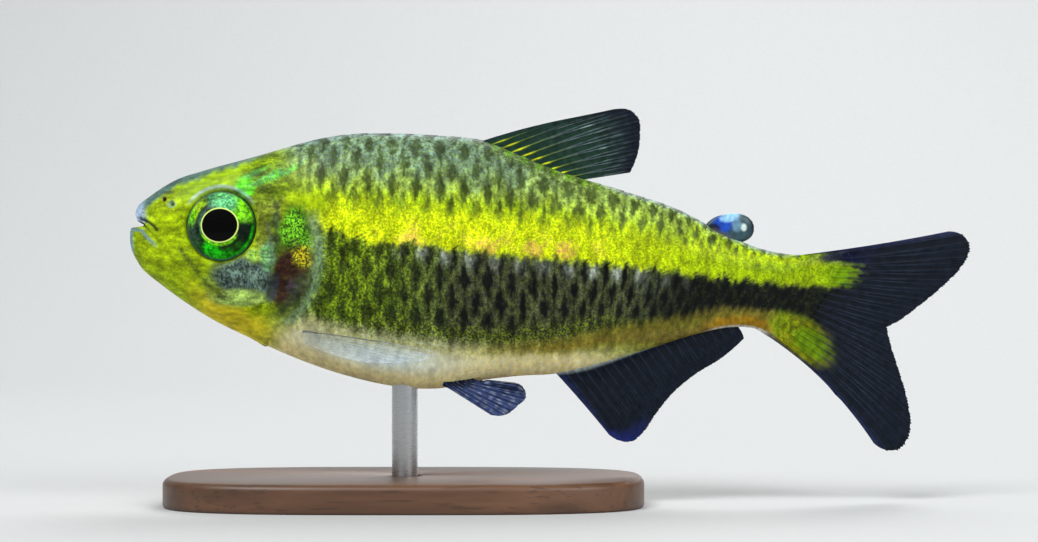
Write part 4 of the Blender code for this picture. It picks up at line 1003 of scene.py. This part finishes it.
def scale_places(looks):
    """Each scale's middle on one side, as (along, turn, length, half its height, number, row)."""
    at, turn, above = row_table()
    slim = np.interp(at, KNOTS[[GILL_RING, RUMP_RING, TAIL_STALK_RING, -1]], [1.0, 1.0, 0.72, 0.60])
    short = np.interp(at, KNOTS[[DORSAL_RING, ANAL_FIN_RING, TAIL_STALK_RING, -1]], [1.0, 0.82, 0.72, 0.60])
    spacing = looks.scale_row / MM * slim
    pitch = looks.scale_pitch / MM * short
    count = np.concatenate([[0], np.cumsum(np.diff(at) / pitch[1:])])
    places = []
    for row in range(-ROWS_EACH_WAY, ROWS_EACH_WAY):
        for number in np.arange(0, count[-1]) + 0.5 * (row % 2):
            along = np.interp(number, count, at)
            i = min(np.searchsorted(at, along), len(at) - 1)
            height, offset = spacing[i], row * spacing[i]
            margin = ROW_MARGIN * height
            if along < at[-1] - LAST_SCALE and above[i, -1] + margin < offset < above[i, 0] - margin:
                where = np.interp(-offset, -above[i], turn)
                places.append((along, where, SCALE_LONG * pitch[i], SCALE_TALL * height, number, row))
    # one more row along the ridge of the back, and one along the keel of the belly
    for edge in (0.0, math.pi):
        places += [(np.interp(n + 0.25, count, at), edge, SCALE_LONG * pitch[0], spacing[0], n, 0.5)
                   for n in np.arange(2, count[-1] - 1)]
    return np.array(places)


def scale_sheet(name, places, side, looks, finish, seed):
    """Thin plates that lie back over one another like tiles, each rounded at its free rear edge."""
    def pace(lengthways, around):
        """How many millimetres of skin go by for one unit along the body, or one radian round it."""
        step = body_point(along.ravel() + lengthways, turn.ravel() + around) - middle
        return np.linalg.norm(step, axis=1)[:, None] / SLOPE_STEP

    def both(values):
        """The same values for a scale's outer face and its underside."""
        values = np.reshape(values, (len(places), SCALE_GRID**2, -1))
        return np.concatenate([values, values], axis=1).reshape(-1, values.shape[-1])

    chance = np.random.default_rng(seed).random(len(places))
    way, across = np.meshgrid(np.linspace(0, 1, SCALE_GRID), np.linspace(-1, 1, SCALE_GRID), indexing="ij")
    way, across = way.ravel(), across.ravel()
    along, turn, long, tall, number, row = (column[:, None] for column in places.T)
    middle = body_point(along.ravel(), turn.ravel())
    reach = way * (1 - SCALE_ROUND * across**2) - SCALE_ROOT
    width = across * (1 - SCALE_TAPER * (1 - way) ** 2)
    at = along + reach * long / pace(SLOPE_STEP, 0)
    at = np.clip(at, KNOTS[LIP_RING], KNOTS[-1] - 0.05)
    around = turn + width * np.minimum(tall / pace(0, SLOPE_STEP), MOST_TURN)
    size = at.shape
    at, around = at.ravel(), around.ravel()
    plain, normal = body_point(at, around), body_normal(at, around)
    # scales lie flatter on the belly, and each rises to its free edge and falls away at its sides
    flat = 0.15 + 0.85 * soft(over(middle[:, 0], middle[:, 2], BAND_LOW), -0.8, 0.6)[:, None]
    tilt = looks.coat_depth / MM * flat
    top = tilt * (-1.25 + (1.55 + 0.1 * chance[:, None]) * way**0.85 - 0.3 * across**2 - 0.9 * across**4)
    under = top - looks.scale_thick / MM * (0.4 + 0.6 * way)
    grids = []
    for level in (top, under):
        grid = (plain + level.ravel()[:, None] * normal) * (1, side, 1)
        grids.append(grid.reshape(*size, 3))
    points = np.concatenate(grids, axis=1).reshape(-1, 3)
    plate = plate_faces(SCALE_GRID, SCALE_GRID)
    plate = plate[:, ::-1] if side < 0 else plate
    faces = (plate[None] + 2 * SCALE_GRID**2 * np.arange(len(places))[:, None, None]).reshape(-1, 4)
    piece = mesh_object(name, points, faces, finish)
    piece.data.set_sharp_from_angle(angle=math.radians(SHARP_SCALE))
    x, z = plain[:, 0], plain[:, 2]
    painted = hide_paint(x, z, looks)
    painted[:, :6] *= (0.92 + 0.16 * np.repeat(chance, len(way)))[:, None]
    olive = soft(over(x, z, STRIPE_TOP), -1.2, -0.2)[:, None]
    store_paint(piece, both(np.clip(painted, 0, 1)))
    dark = np.array(looks.smudge) * (1 - olive) + np.array(looks.back_smudge) * olive
    store(piece, "smudge_colour", both(dark))
    mark_x, mark_z = number + reach * SCALE_LONG - MARK_AT, row - width * SCALE_TALL
    store(piece, "scale_place", both(np.stack([mark_x, mark_z, 0 * mark_x], axis=-1)))
    u = along / KNOTS[-1] + MAP_CELL * (way - 0.5) * looks.scale_pitch / MM / KNOTS[-1]
    v = turn / (2 * math.pi) + MAP_CELL * across * 0.5 * looks.scale_row / MM / GIRTH
    v = v if side > 0 else 1 - v
    bake_map(piece, both(np.stack([np.broadcast_to(u, size), np.broadcast_to(v, size)], axis=-1)))
    return piece


# Fins


def ray_ridge(share, out, rays, plain_rays=2):
    """How much of a ray there is at each place of a fin. Rays fork twice on their way out."""
    count = share * (rays - 1)
    number = np.round(count)
    off = np.abs(count - number)
    # the first fork opens from 0.15 of the way out, and the second from 0.45
    forks = number >= plain_rays
    first = forks * 0.20 * soft(out, 0.15, 0.75)
    second = forks * 0.09 * soft(out, 0.45, 1.0)
    thin = 0.105 - 0.055 * out
    return np.exp(-(np.abs(np.abs(off - first) - second) / thin) ** 2)


def build_fin(name, root, tips, rays, bow, finish, looks, colour, sway=None, lay=None, half=None,
              detail=(14, 72), foot=0.22, plain_rays=2, raised=1.0):
    """A fin whose rays fan from the root line to the tip line.

    bow bends the rays in side view, from the first ray to the last. sway moves the fin sideways, and lay
    gives its y outright. half gives half its thickness outright, raised says how far its rays stand out, and
    foot how much it thickens at its root. detail is the vertices from one ray to the next, and along a ray.
    plain_rays is how many rays at the front don't fork. colour gives each vertex its colour and how much of
    the light it stops.
    """
    columns, rows = (rays - 1) * detail[0] + 1, detail[1]
    share, out = np.meshgrid(np.linspace(0, 1, columns), np.linspace(0, 1, rows), indexing="ij")
    root, tips = smooth_line(root, columns), smooth_line(tips, columns)
    if root.shape[1] == 2:
        root, tips = np.insert(root, 1, 0.0, axis=1), np.insert(tips, 1, 0.0, axis=1)
    ridge = ray_ridge(share, out, rays, plain_rays)
    # the edge is drawn in a little between the rays
    tips = tips - (0.010 * (1 - ridge[:, -1]))[:, None] * (tips - root)
    run = tips - root
    across = np.stack([-run[:, 2], np.zeros(columns), run[:, 0]], axis=1)
    across /= np.linalg.norm(across, axis=1, keepdims=True)
    grid = root[:, None] + run[:, None] * out[..., None]
    bend = np.linspace(bow[0], bow[1], columns)[:, None] * 4 * out * (1 - out)
    grid = grid + bend[..., None] * across[:, None]
    if sway is not None:
        grid[..., 1] += sway(share, out)
    if lay is not None:
        grid[..., 1] = lay(grid[..., 0].ravel(), grid[..., 2].ravel(), out.ravel()).reshape(out.shape)
    normal = np.cross(np.gradient(grid, axis=1), np.gradient(grid, axis=0))
    normal /= np.maximum(np.linalg.norm(normal, axis=2, keepdims=True), 1e-9)
    if half is None:
        depth = looks.membrane / MM * (1 - 0.45 * out**2)
        depth += raised * looks.ray_height / MM * ridge * (1 - 0.6 * out)
        depth += foot * np.clip(1 - out / 0.16, 0, 1) ** 2
    else:
        depth = half(share, out)
    front, back = grid + depth[..., None] * normal, grid - depth[..., None] * normal
    points = np.concatenate([front.reshape(-1, 3), back.reshape(-1, 3)])
    piece = mesh_object(name, points, plate_faces(columns, rows)[:, ::-1], finish)
    colours, body = colour(grid.reshape(-1, 3), share.ravel(), out.ravel(), ridge.ravel())
    store(piece, "hide", np.tile(np.clip(colours, 0, 1), (2, 1)))
    store(piece, "body", np.tile(body, 2))
    return piece


def fin_colours(looks, share, out, ridge, first_edge=0.05):
    """Smoky membrane, paler rays and a blue-violet leading edge, with how much light each stops."""
    colours = coat(looks.veil, len(share))
    paint(colours, [(ridge**2 * (0.8 - 0.5 * out), looks.ray),
                    (soft(share, 2.4 * first_edge, 0.4 * first_edge), looks.edge)])
    body = 0.93 + 0.05 * ridge + 0.1 * soft(out, 0.25, 0.0)
    return colours, np.clip(body, 0, 0.98)


def along_back(first_x, last_x, count=7, belly=False, deep=0.35):
    """A fin's root line, sunk a little into the back or the belly."""
    sink = deep if belly else -deep
    return [(x, float(edge_z(x, belly)) + sink) for x in np.linspace(first_x, last_x, count)]


def build_dorsal(skin, looks, finish):
    """The dorsal fin, leant back, with a row of bright beads near the foot of its rays."""
    def colour(points, share, out, ridge):
        colours, body = fin_colours(looks, share, out, ridge, 0.03)
        patchy = soft(np.sin(23 * out + 40 * share) + np.sin(61 * share), 0.2, 1.2)
        paint(colours, [((1 - ridge) * soft(out, 1.0, 0.5) * 0.8, looks.dorsal_veil),
                        (ridge**3 * hump(out, 0.50, 0.28) * (0.35 + 0.65 * patchy)
                         * soft(share, 0.10, 0.3), looks.ray_glint),
                        (ridge**2 * soft(out, 0.45, 0.03) * soft(share, 0.02, 0.12) * 0.8, looks.dorsal_ray),
                        (hump(out, 0.085, 0.045) * soft(share, 0.05, 0.15) * ridge, skin.stripe_fleck)])
        return colours, body

    tips = [(36.9, 11.62), (37.9, 11.92), (38.85, 11.80), (39.5, 11.15), (39.6, 9.9), (39.5, 8.8),
            (39.2, 7.8), (38.8, 6.95)]
    root = [(x, z + 0.30 * (1 - n / 6) ** 2) for n, (x, z) in enumerate(along_back(27.3, 34.5))]
    piece = build_fin("dorsal_fin_rays", root, tips, 11, (0.22, 0.0), finish, looks, colour)
    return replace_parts(piece, "dorsal_fin")


def build_anal(skin, looks, finish):
    """The long anal fin, which hangs from the vent to the tail's root."""
    def colour(points, share, out, ridge):
        colours, body = fin_colours(looks, share, out, ridge, 0.03)
        paint(colours, [(soft(out, 0.80, 0.97) * soft(share, 0.34, 0.08), looks.tip),
                        (soft(out, 0.10, 0.04) * 0.5, skin.belly_silver)])
        return colours, body

    root = along_back(32.75, 46.9, 9, belly=True)
    tips = [(37.2, -13.45), (38.1, -13.95), (39.0, -13.95), (39.75, -13.35), (40.8, -11.85), (42.2, -10.15),
            (43.9, -8.75), (46.0, -7.45), (47.7, -5.95)]
    piece = build_fin("anal_fin_rays", root, tips, 21, (0.05, 0.12), finish, looks, colour,
                      sway=lambda share, out: 0.35 * out**2 * np.sin(3 * share), detail=(10, 64))
    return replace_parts(piece, "anal_fin")


def build_tail_fin(skin, looks, finish):
    """The forked tail fin in its two lobes, whose inner rays meet at the fork."""
    last = RINGS[TAIL_ROOT_RING]
    top, bottom = np.array([last.back_x, last.back_z]), np.array([last.belly_x, last.belly_z])
    middle = (top + bottom) / 2

    def colour(points, share, out, ridge):
        colours, body = fin_colours(looks, share, out, ridge, 0.05)
        x, z = points[:, 0], points[:, 2]
        painted = hide_paint(x, z, skin)
        grain = 0.5 + 0.5 * np.sin(17 * x + 9 * z) * np.sin(23 * z - 5 * x)
        skinny = painted[:, :3] + (painted[:, 3:6] - painted[:, :3]) * (painted[:, 6] * grain)[:, None]
        skinny *= (0.95 - 0.35 * painted[:, 9] * soft(ragged(x, z, 0.5), -0.5, 0.5))[:, None]
        first_ray = soft(share, 0.12, 0.03) * soft(out, 0.02, 0.10)
        near = soft(out + 0.06 * ridge, 0.52, 0.34) * (1 - 0.8 * first_ray)
        colours += (skinny - colours) * near[:, None]
        return colours, np.clip(np.maximum(body, near), 0, 0.98)

    shared = dict(rays=11, finish=finish, looks=looks, colour=colour, detail=(14, 84), foot=0.30)
    tips = [(64.2, 2.42), (65.1, 2.32), (65.75, 1.85), (65.95, 1.1), (65.2, -0.45), (64.0, -1.65),
            (61.7, -3.5), (59.9, -4.75), (59.1, -5.12)]
    upper = build_fin("tail_fin_upper_rays", [top, middle], tips, bow=(-0.10, 0.0),
                      sway=lambda share, out: 0.5 * out**2 * (1 - share), **shared)
    tips = [(58.0, -14.2), (58.9, -14.8), (59.8, -14.85), (60.6, -14.25), (61.0, -13.1), (60.8, -11.1),
            (60.0, -8.3), (59.45, -6.6), (59.1, -5.10)]
    lower = build_fin("tail_fin_lower_rays", [bottom, middle], tips, bow=(0.75, 0.0),
                      sway=lambda share, out: -0.45 * out**2 * (1 - share), **shared)
    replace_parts(upper, "tail_fin_upper_lobe")
    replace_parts(lower, "tail_fin_lower_lobe")
    return upper, lower


def build_adipose(looks, finish):
    """The small fatty fin: a stalk that swells into a rounded paddle."""
    def colour(points, share, out, ridge):
        colours = coat(looks.adipose_grey, len(share))
        x, z = points[:, 0], points[:, 2]
        paint(colours, [(soft(x, 47.9, 48.6), looks.veil),
                        (spot(x, z, (46.0, 2.95), (0.85, 0.75)), looks.adipose_blue),
                        (spot(x - 0.6 * (z - 3.5), z, (46.55, 3.5), (0.8, 0.45)), looks.adipose_top),
                        (spot(x, z, (47.1, 2.9), (0.45, 0.6)) * 0.4, looks.adipose_top),
                        # painted highlight: a small white spot on the paddle
                        (spot(x, z, (47.65, 2.7), (0.24, 0.34)) * 0.8, looks.adipose_shine),
                        (spot(x, z, (45.3, 2.5), (0.6, 0.6)) * 0.9, looks.veil),
                        (soft(out, 0.16, 0.05), looks.veil)])
        return colours, np.ones(len(share))

    def half(share, out):
        edge = 1 - np.abs(2 * share - 1) ** 3
        swell = np.sqrt(np.clip(edge * (1 - out**5), 0, 1))
        return 0.06 + 0.32 * swell + 0.1 * np.clip(1 - out / 0.2, 0, 1) ** 2

    root = along_back(44.6, 47.2, 3, deep=0.2)
    tips = [(46.3, 3.72), (47.1, 3.80), (47.75, 3.66), (48.3, 3.24), (48.5, 2.62), (48.3, 2.0),
            (47.85, 1.68)]
    piece = build_fin("adipose_fin_paddle", root, tips, 6, (0.22, -0.05), finish, looks, colour, half=half,
                      detail=(8, 40))
    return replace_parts(piece, "adipose_fin")


def build_paired_fins(side, hand, skin, looks, finish):
    """The pectoral fin, folded back along the flank, and the pelvic fin, half spread under the belly."""
    def silver(points, share, out, ridge):
        # the silver-white is partly the fin's own pale colour and partly a painted sheen, with painted
        # sparkles near its tips
        colours = coat(looks.pectoral, len(share))
        sparkle = soft(out, 0.75, 0.9) * soft(np.sin(41 * out + 23 * share), 0.3, 0.9)
        line = hump(share, 0.0, 0.025) * soft(out, 1.0, 0.5)
        paint(colours, [((1 - ridge) * 0.6, skin.belly_silver), (line * 0.8, skin.smudge)])
        return colours, np.clip(0.08 + 0.24 * ridge + 0.4 * sparkle * ridge + 0.5 * line, 0, 0.9)

    def flecked(points, share, out, ridge):
        colours, body = fin_colours(looks, share, out, ridge, 0.05)
        pale = soft(ragged(points[:, 0], points[:, 2], 0.4), -0.2, 0.7)
        paint(colours, [((0.3 + 0.6 * ridge) * soft(out, 0.02, 0.25), looks.pelvic),
                        (ridge * pale * 0.4, looks.pectoral)])
        return colours, body

    def lay(x, z, out):
        point, normal = on_skin(x, z, side)
        return point[:, 1] + side * (0.16 + 0.85 * out**2) / np.maximum(np.abs(normal[:, 1]), 0.4)

    root = [(13.6, -5.30), (13.65, -5.75), (13.7, -6.15)]
    tips = [(23.6, -6.80), (23.9, -7.10), (23.2, -7.45), (21.4, -7.70), (19.2, -7.75), (17.3, -7.45)]
    pectoral = build_fin("pectoral_fin_rays_" + hand, root, tips, 10, (0.10, -0.15), finish, looks, silver,
                         lay=lay, detail=(10, 60), foot=0.12, plain_rays=1, raised=0.4)
    root = on_skin(*np.array([(24.3, -9.35), (25.3, -9.30), (26.5, -9.10)]).T, side, np.full(3, 0.05))[0]
    tips = [(28.0, 2.3 * side, -11.75), (29.2, 2.5 * side, -11.7), (30.1, 2.6 * side, -11.0),
            (30.7, 2.7 * side, -10.35), (30.5, 2.75 * side, -9.85), (29.6, 2.85 * side, -9.5)]
    pelvic = build_fin("pelvic_fin_rays_" + hand, root, tips, 8, (0.0, 0.0), finish, looks, flecked,
                       detail=(14, 60), foot=0.15, plain_rays=1)
    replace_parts(pectoral, "pectoral_fin_" + hand)
    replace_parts(pelvic, "pelvic_fin_" + hand)
    return pectoral, pelvic


# Eyes


def iris_colours(rear, up, looks):
    """The iris's colours at places from its middle, in shares of its radius."""
    def patch(centre, size):
        return soft(np.hypot(rear - centre[0], up - centre[1]), size * 1.25, size * 0.5)

    def sector(middle, reach):
        return soft(np.abs((turn - middle + 180) % 360 - 180), reach + 10, reach - 10)

    radius, turn = np.hypot(rear, up), np.degrees(np.arctan2(up, rear))
    colours = coat(looks.dark, len(rear))
    paint(colours, [
        (sector(-95, 58) * soft(radius, 0.62, 0.72), looks.deep),
        (sector(-32, 34) * hump(radius, 0.91, 0.035), looks.green),
        (sector(54, 44) * soft(radius, 0.46, 0.56), looks.lime),
        (sector(148, 26) * soft(radius, 0.66, 0.76), looks.yellow),
        (sector(165, 14) * soft(radius, 0.70, 0.78), looks.lime),
        (sector(134, 42) * soft(radius, 0.70, 0.60) * 0.7, looks.rim),
        # painted reflection: the mint patches on the top of the iris stand for the light above, mirrored in
        # the eye
        (patch((-0.10, 0.78), 0.30) * 0.55, looks.mint_and_reflection),
        (patch((0.14, 0.62), 0.36), looks.mint_and_reflection),
        (patch((-0.26, -0.64), 0.24), looks.green),
        (patch((-0.12, -0.82), 0.20) * 0.8, looks.green),
        (patch((0.20, -0.86), 0.20) * 0.5, looks.green),
        (hump(radius, 0.55, 0.035) * sector(-95, 62), looks.lime),
        (hump(radius, 0.55, 0.03) * sector(178, 30) * 0.5, looks.mint_and_reflection),
        (sector(-165, 26) * soft(radius, 0.60, 0.75) * 0.35, looks.rim)])
    return np.clip(colours, 0, 1)


def build_eye(side, hand, looks, finish):
    """A flattened ball in its socket, looking out along the skin's normal."""
    surface, normal, rear, up = eye_frame(side)
    turns = round_turns(EYE_SIDES)
    lean = np.linspace(0, math.pi, EYE_RINGS + 1)[1:-1]
    # a little boxier than an ellipse
    radius = EYE_RADIUS * np.sin(lean) ** 0.92
    depth = EYE_HALF_DEPTH * np.sign(np.cos(lean)) * np.abs(np.cos(lean)) ** 0.95
    centre = surface - normal * (EYE_HALF_DEPTH - EYE_STANDS_OUT)
    flat = radius[:, None, None] * (np.cos(turns)[None, :, None] * rear + np.sin(turns)[None, :, None] * up)
    ball = (centre + depth[:, None, None] * normal + flat).reshape(-1, 3)
    poles = np.array([centre + EYE_HALF_DEPTH * normal, centre - EYE_HALF_DEPTH * normal])
    faces = ball_faces(len(lean), EYE_SIDES)
    faces = [f[::-1] for f in faces] if side < 0 else faces
    piece = mesh_object("eyeball_" + hand, np.concatenate([ball, poles]), faces, finish)
    share = radius[:, None] / EYE_RADIUS
    across, upward = np.append(share * np.cos(turns), [0, 0]), np.append(share * np.sin(turns), [0, 0])
    pupil = np.hypot(across, upward / PUPIL_OVAL) * EYE_RADIUS * MM / looks.pupil_radius
    store(piece, "iris_place", np.stack([np.hypot(across, upward), pupil, np.zeros(len(across))], axis=1))
    store(piece, "hide", iris_colours(across, upward, looks))
    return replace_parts(piece, "eye_" + hand)


# Stand and stage


def circle(radius, z, turns):
    """A ring of points round the rod's axis."""
    return np.stack([ROD_X + radius * np.cos(turns), radius * np.sin(turns), np.full(len(turns), z)], axis=1)


def ringed_object(name, rings, finish, sharp):
    """A piece of the stand, through rings of points that are closed at both ends."""
    count, sides = len(rings), len(rings[0])
    faces = grid_faces(count, sides, closed=True).tolist()
    faces += [range(sides), range(count * sides - 1, (count - 1) * sides - 1, -1)]
    piece = mesh_object(name, np.concatenate(rings), [f[::-1] for f in faces], finish, swims=False)
    piece.data.set_sharp_from_angle(angle=math.radians(sharp))
    return piece


def build_base(looks, finish):
    """A long walnut plate with well-rounded ends and edges, drilled for the rod."""
    def squared(share):
        """Draws a circle's coordinates out towards a rectangle's."""
        return np.sign(share) * np.abs(share) ** BASE_SQUARED

    turns = round_turns(looks.sides)
    floor, top = -MIDLINE_HEIGHT, -MIDLINE_HEIGHT + BASE_THICK
    levels = [(FLAT_INSET, floor)]
    for bend in np.linspace(0, math.pi / 2, 7):
        levels.append((BASE_BEVEL * (1 - math.sin(bend)), floor + BASE_BEVEL * (1 - math.cos(bend))))
    for bend in np.linspace(0, math.pi / 2, 7):
        levels.append((BASE_ROUND * (1 - math.cos(bend)), top - BASE_ROUND * (1 - math.sin(bend))))
    levels.append((FLAT_INSET, top))
    rings = []
    for shrink, z in levels:
        x = (BASE_LENGTH / 2 - shrink) * squared(np.cos(turns)) + ROD_X
        y = (BASE_WIDTH / 2 - shrink) * squared(np.sin(turns))
        rings.append(np.stack([x, y, np.full(looks.sides, z)], axis=1))
    hole, bottom = ROD_RADIUS + GAP, top - SOCKET_DEPTH
    rings += [circle(hole + HOLE_BEVEL, top, turns), circle(hole, top - HOLE_BEVEL, turns),
              circle(hole, bottom, turns), circle(0.05, bottom, turns)]
    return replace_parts(ringed_object("walnut_base", rings, finish, SHARP_STAND), "stand_base")


def build_rod(finish):
    """A round rod from its socket up into the belly that it carries."""
    foot = -MIDLINE_HEIGHT + BASE_THICK - SOCKET_DEPTH + GAP
    top = float(edge_z(ROD_X, belly=True)) + ROD_SINKS
    levels = [(ROD_RADIUS - ROD_BEVEL, foot), (ROD_RADIUS, foot + ROD_BEVEL)]
    levels += [(ROD_RADIUS, z) for z in np.linspace(foot + 0.3, top, 6)]
    rings = [circle(radius, z, round_turns(ROD_SIDES)) for radius, z in levels]
    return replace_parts(ringed_object("steel_rod", rings, finish, SHARP_ROD), "stand_rod")


def build_backdrop(looks):
    """Matt paper, rolled out as a floor that curves up into a wall."""
    front, start, radius, wall = -0.6, 0.22, 0.25, 0.75
    line = [(front, 0.0)]
    for bend in np.linspace(0, math.pi / 2, 25):
        line.append((start + radius * math.sin(bend), radius * (1 - math.cos(bend))))
    line.append((start + radius, wall))
    points = [(x, y, z) for x in (-1.0, 1.0) for y, z in line]
    count = len(line)
    faces = [(i, count + i, count + i + 1, i + 1) for i in range(count - 1)]
    smooth_mesh("backdrop", points, faces, paper_material(looks))


def add_light(name, place, aim, size, watts):
    """A round, soft light that shines from one place towards another."""
    light = bpy.data.lights.new(name, "AREA")
    light.shape, light.size, light.energy = "DISK", size, watts
    lamp = link_object(name, light)
    lamp.location = place
    lamp.rotation_mode = "QUATERNION"
    lamp.rotation_quaternion = Vector(np.subtract(aim, place)).to_track_quat("-Z", "Y")


def add_camera():
    """The photograph's view: level with the fish and square to its left flank."""
    camera = link_object("camera", bpy.data.cameras.new("camera"))
    camera.data.lens, camera.data.sensor_width = 100, 36
    camera.data.clip_start, camera.data.clip_end = 0.01, 10
    camera.location = ((VIEW_X - ROD_X) * MM, -VIEW_AWAY * MM, (MIDLINE_HEIGHT + VIEW_Z) * MM)
    camera.rotation_euler = (math.pi / 2, 0, 0)
    bpy.context.scene.camera = camera


# Operators


class MOENKHAUSIA_OT_skin(Operator):
    """Build the skin over the whole body"""
    bl_idname = "moenkhausia.skin"
    bl_label = "Skin"

    def execute(self, context):
        looks = context.scene.moenkhausia_skin
        piece = build_skin(looks, hide_material("wet_fish_skin", looks, scaled=False))
        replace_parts(piece, "head", "lower_jaw", "gill_cover_left", "gill_cover_right", "torso", "tail")
        return {"FINISHED"}


class MOENKHAUSIA_OT_scales(Operator):
    """Lay the scales over the body, from the gill openings to the tail fin"""
    bl_idname = "moenkhausia.scales"
    bl_label = "Scales"

    def execute(self, context):
        looks = context.scene.moenkhausia_skin
        finish = hide_material("wet_fish_scales", looks, scaled=True)
        places = scale_places(looks)
        middle = body_point(places[:, 0], places[:, 1])
        behind = line_distance(middle[:, 0], middle[:, 2], GILL_LINE)
        places = places[behind > FIRST_SCALE]
        for side, hand in FLANKS:
            kept = places if side < 0 else places[(places[:, 1] > 1e-6) & (places[:, 1] < math.pi - 1e-6)]
            parting = np.median(kept[:, 0])
            for end, part in (("front", kept[kept[:, 0] < parting]), ("rear", kept[kept[:, 0] >= parting])):
                piece = scale_sheet(f"scales_{hand}_{end}", part, side, looks, finish, seed=len(part) + side)
        return {"FINISHED"}


class MOENKHAUSIA_OT_eyes(Operator):
    """Set both eyes in their sockets"""
    bl_idname = "moenkhausia.eyes"
    bl_label = "Eyes"

    def execute(self, context):
        looks = context.scene.moenkhausia_eye
        finish = eye_material(looks)
        for side, hand in FLANKS:
            build_eye(side, hand, looks, finish)
        return {"FINISHED"}


class MOENKHAUSIA_OT_fins(Operator):
    """Build the fins with their forked rays"""
    bl_idname = "moenkhausia.fins"
    bl_label = "Fins"

    def execute(self, context):
        skin, looks = context.scene.moenkhausia_skin, context.scene.moenkhausia_fin
        finish = fin_material("fin_membrane")
        pieces = [build_dorsal(skin, looks, finish), build_anal(skin, looks, finish),
                  *build_tail_fin(skin, looks, finish)]
        for side, hand in FLANKS:
            pieces += build_paired_fins(side, hand, skin, looks, finish)
        build_adipose(looks, adipose_material())
        return {"FINISHED"}


class MOENKHAUSIA_OT_stand(Operator):
    """Build the walnut base and the steel rod"""
    bl_idname = "moenkhausia.stand"
    bl_label = "Stand"

    def execute(self, context):
        looks = context.scene.moenkhausia_stand
        build_base(looks, walnut_material(looks))
        build_rod(steel_material(looks))
        return {"FINISHED"}


class MOENKHAUSIA_OT_stage(Operator):
    """Set up the pale backdrop, the soft lights and the camera"""
    bl_idname = "moenkhausia.stage"
    bl_label = "Studio"

    def execute(self, context):
        looks = context.scene.moenkhausia_stage
        build_backdrop(looks)
        middle = (0.005, 0.0, 0.018)
        add_light("key", (-0.22, -0.30, 0.48), middle, 0.36, looks.key_watts)
        add_light("fill", (0.36, -0.34, 0.30), middle, 0.36, 0.55 * looks.key_watts)
        add_light("rim", (0.10, 0.30, 0.36), middle, 0.30, 0.45 * looks.key_watts)
        world = bpy.data.worlds.new("studio")
        world.use_nodes = True
        sky = world.node_tree.nodes["Background"].inputs
        sky["Color"].default_value = (*linear("#f8fbff"), 1.0)
        sky["Strength"].default_value = 0.25
        context.scene.world = world
        context.scene.view_settings.view_transform = "Standard"
        add_camera()
        return {"FINISHED"}


class MOENKHAUSIA_PT_panel(Panel):
    """Lists the pieces of the model and the looks that can be changed"""
    bl_idname = "MOENKHAUSIA_PT_panel"
    bl_label = "Moenkhausia"
    bl_space_type = "VIEW_3D"
    bl_region_type = "UI"
    bl_category = "Moenkhausia"

    def draw(self, context):
        for operator, looks in zip(OPERATORS, ("skin", "skin", "eye", "fin", "stand", "stage")):
            box = self.layout.box()
            box.operator(operator.bl_idname)
            group = getattr(context.scene, "moenkhausia_" + looks)
            if operator is not MOENKHAUSIA_OT_scales:
                for name in group.bl_rna.properties.keys():
                    if name not in ("rna_type", "name"):
                        box.prop(group, name)


OPERATORS = (MOENKHAUSIA_OT_skin, MOENKHAUSIA_OT_scales, MOENKHAUSIA_OT_eyes, MOENKHAUSIA_OT_fins,
             MOENKHAUSIA_OT_stand, MOENKHAUSIA_OT_stage)
GROUPS = {"moenkhausia_skin": SkinLooks, "moenkhausia_fin": FinLooks, "moenkhausia_eye": EyeLooks,
          "moenkhausia_stand": StandLooks, "moenkhausia_stage": StageLooks}


def register():
    """Adds the operators, the panel and the settings to Blender."""
    for made in (*GROUPS.values(), *OPERATORS, MOENKHAUSIA_PT_panel):
        bpy.utils.register_class(made)
    for name, group in GROUPS.items():
        setattr(bpy.types.Scene, name, PointerProperty(type=group))


def unregister():
    """Takes them away again."""
    for name in GROUPS:
        delattr(bpy.types.Scene, name)
    for made in (MOENKHAUSIA_PT_panel, *OPERATORS[::-1], *GROUPS.values()):
        bpy.utils.unregister_class(made)


def main():
    """Builds everything."""
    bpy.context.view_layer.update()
    register()
    for operator in OPERATORS:
        group, name = operator.bl_idname.split(".")
        getattr(getattr(bpy.ops, group), name)()


if __name__ == "__main__":
    main()
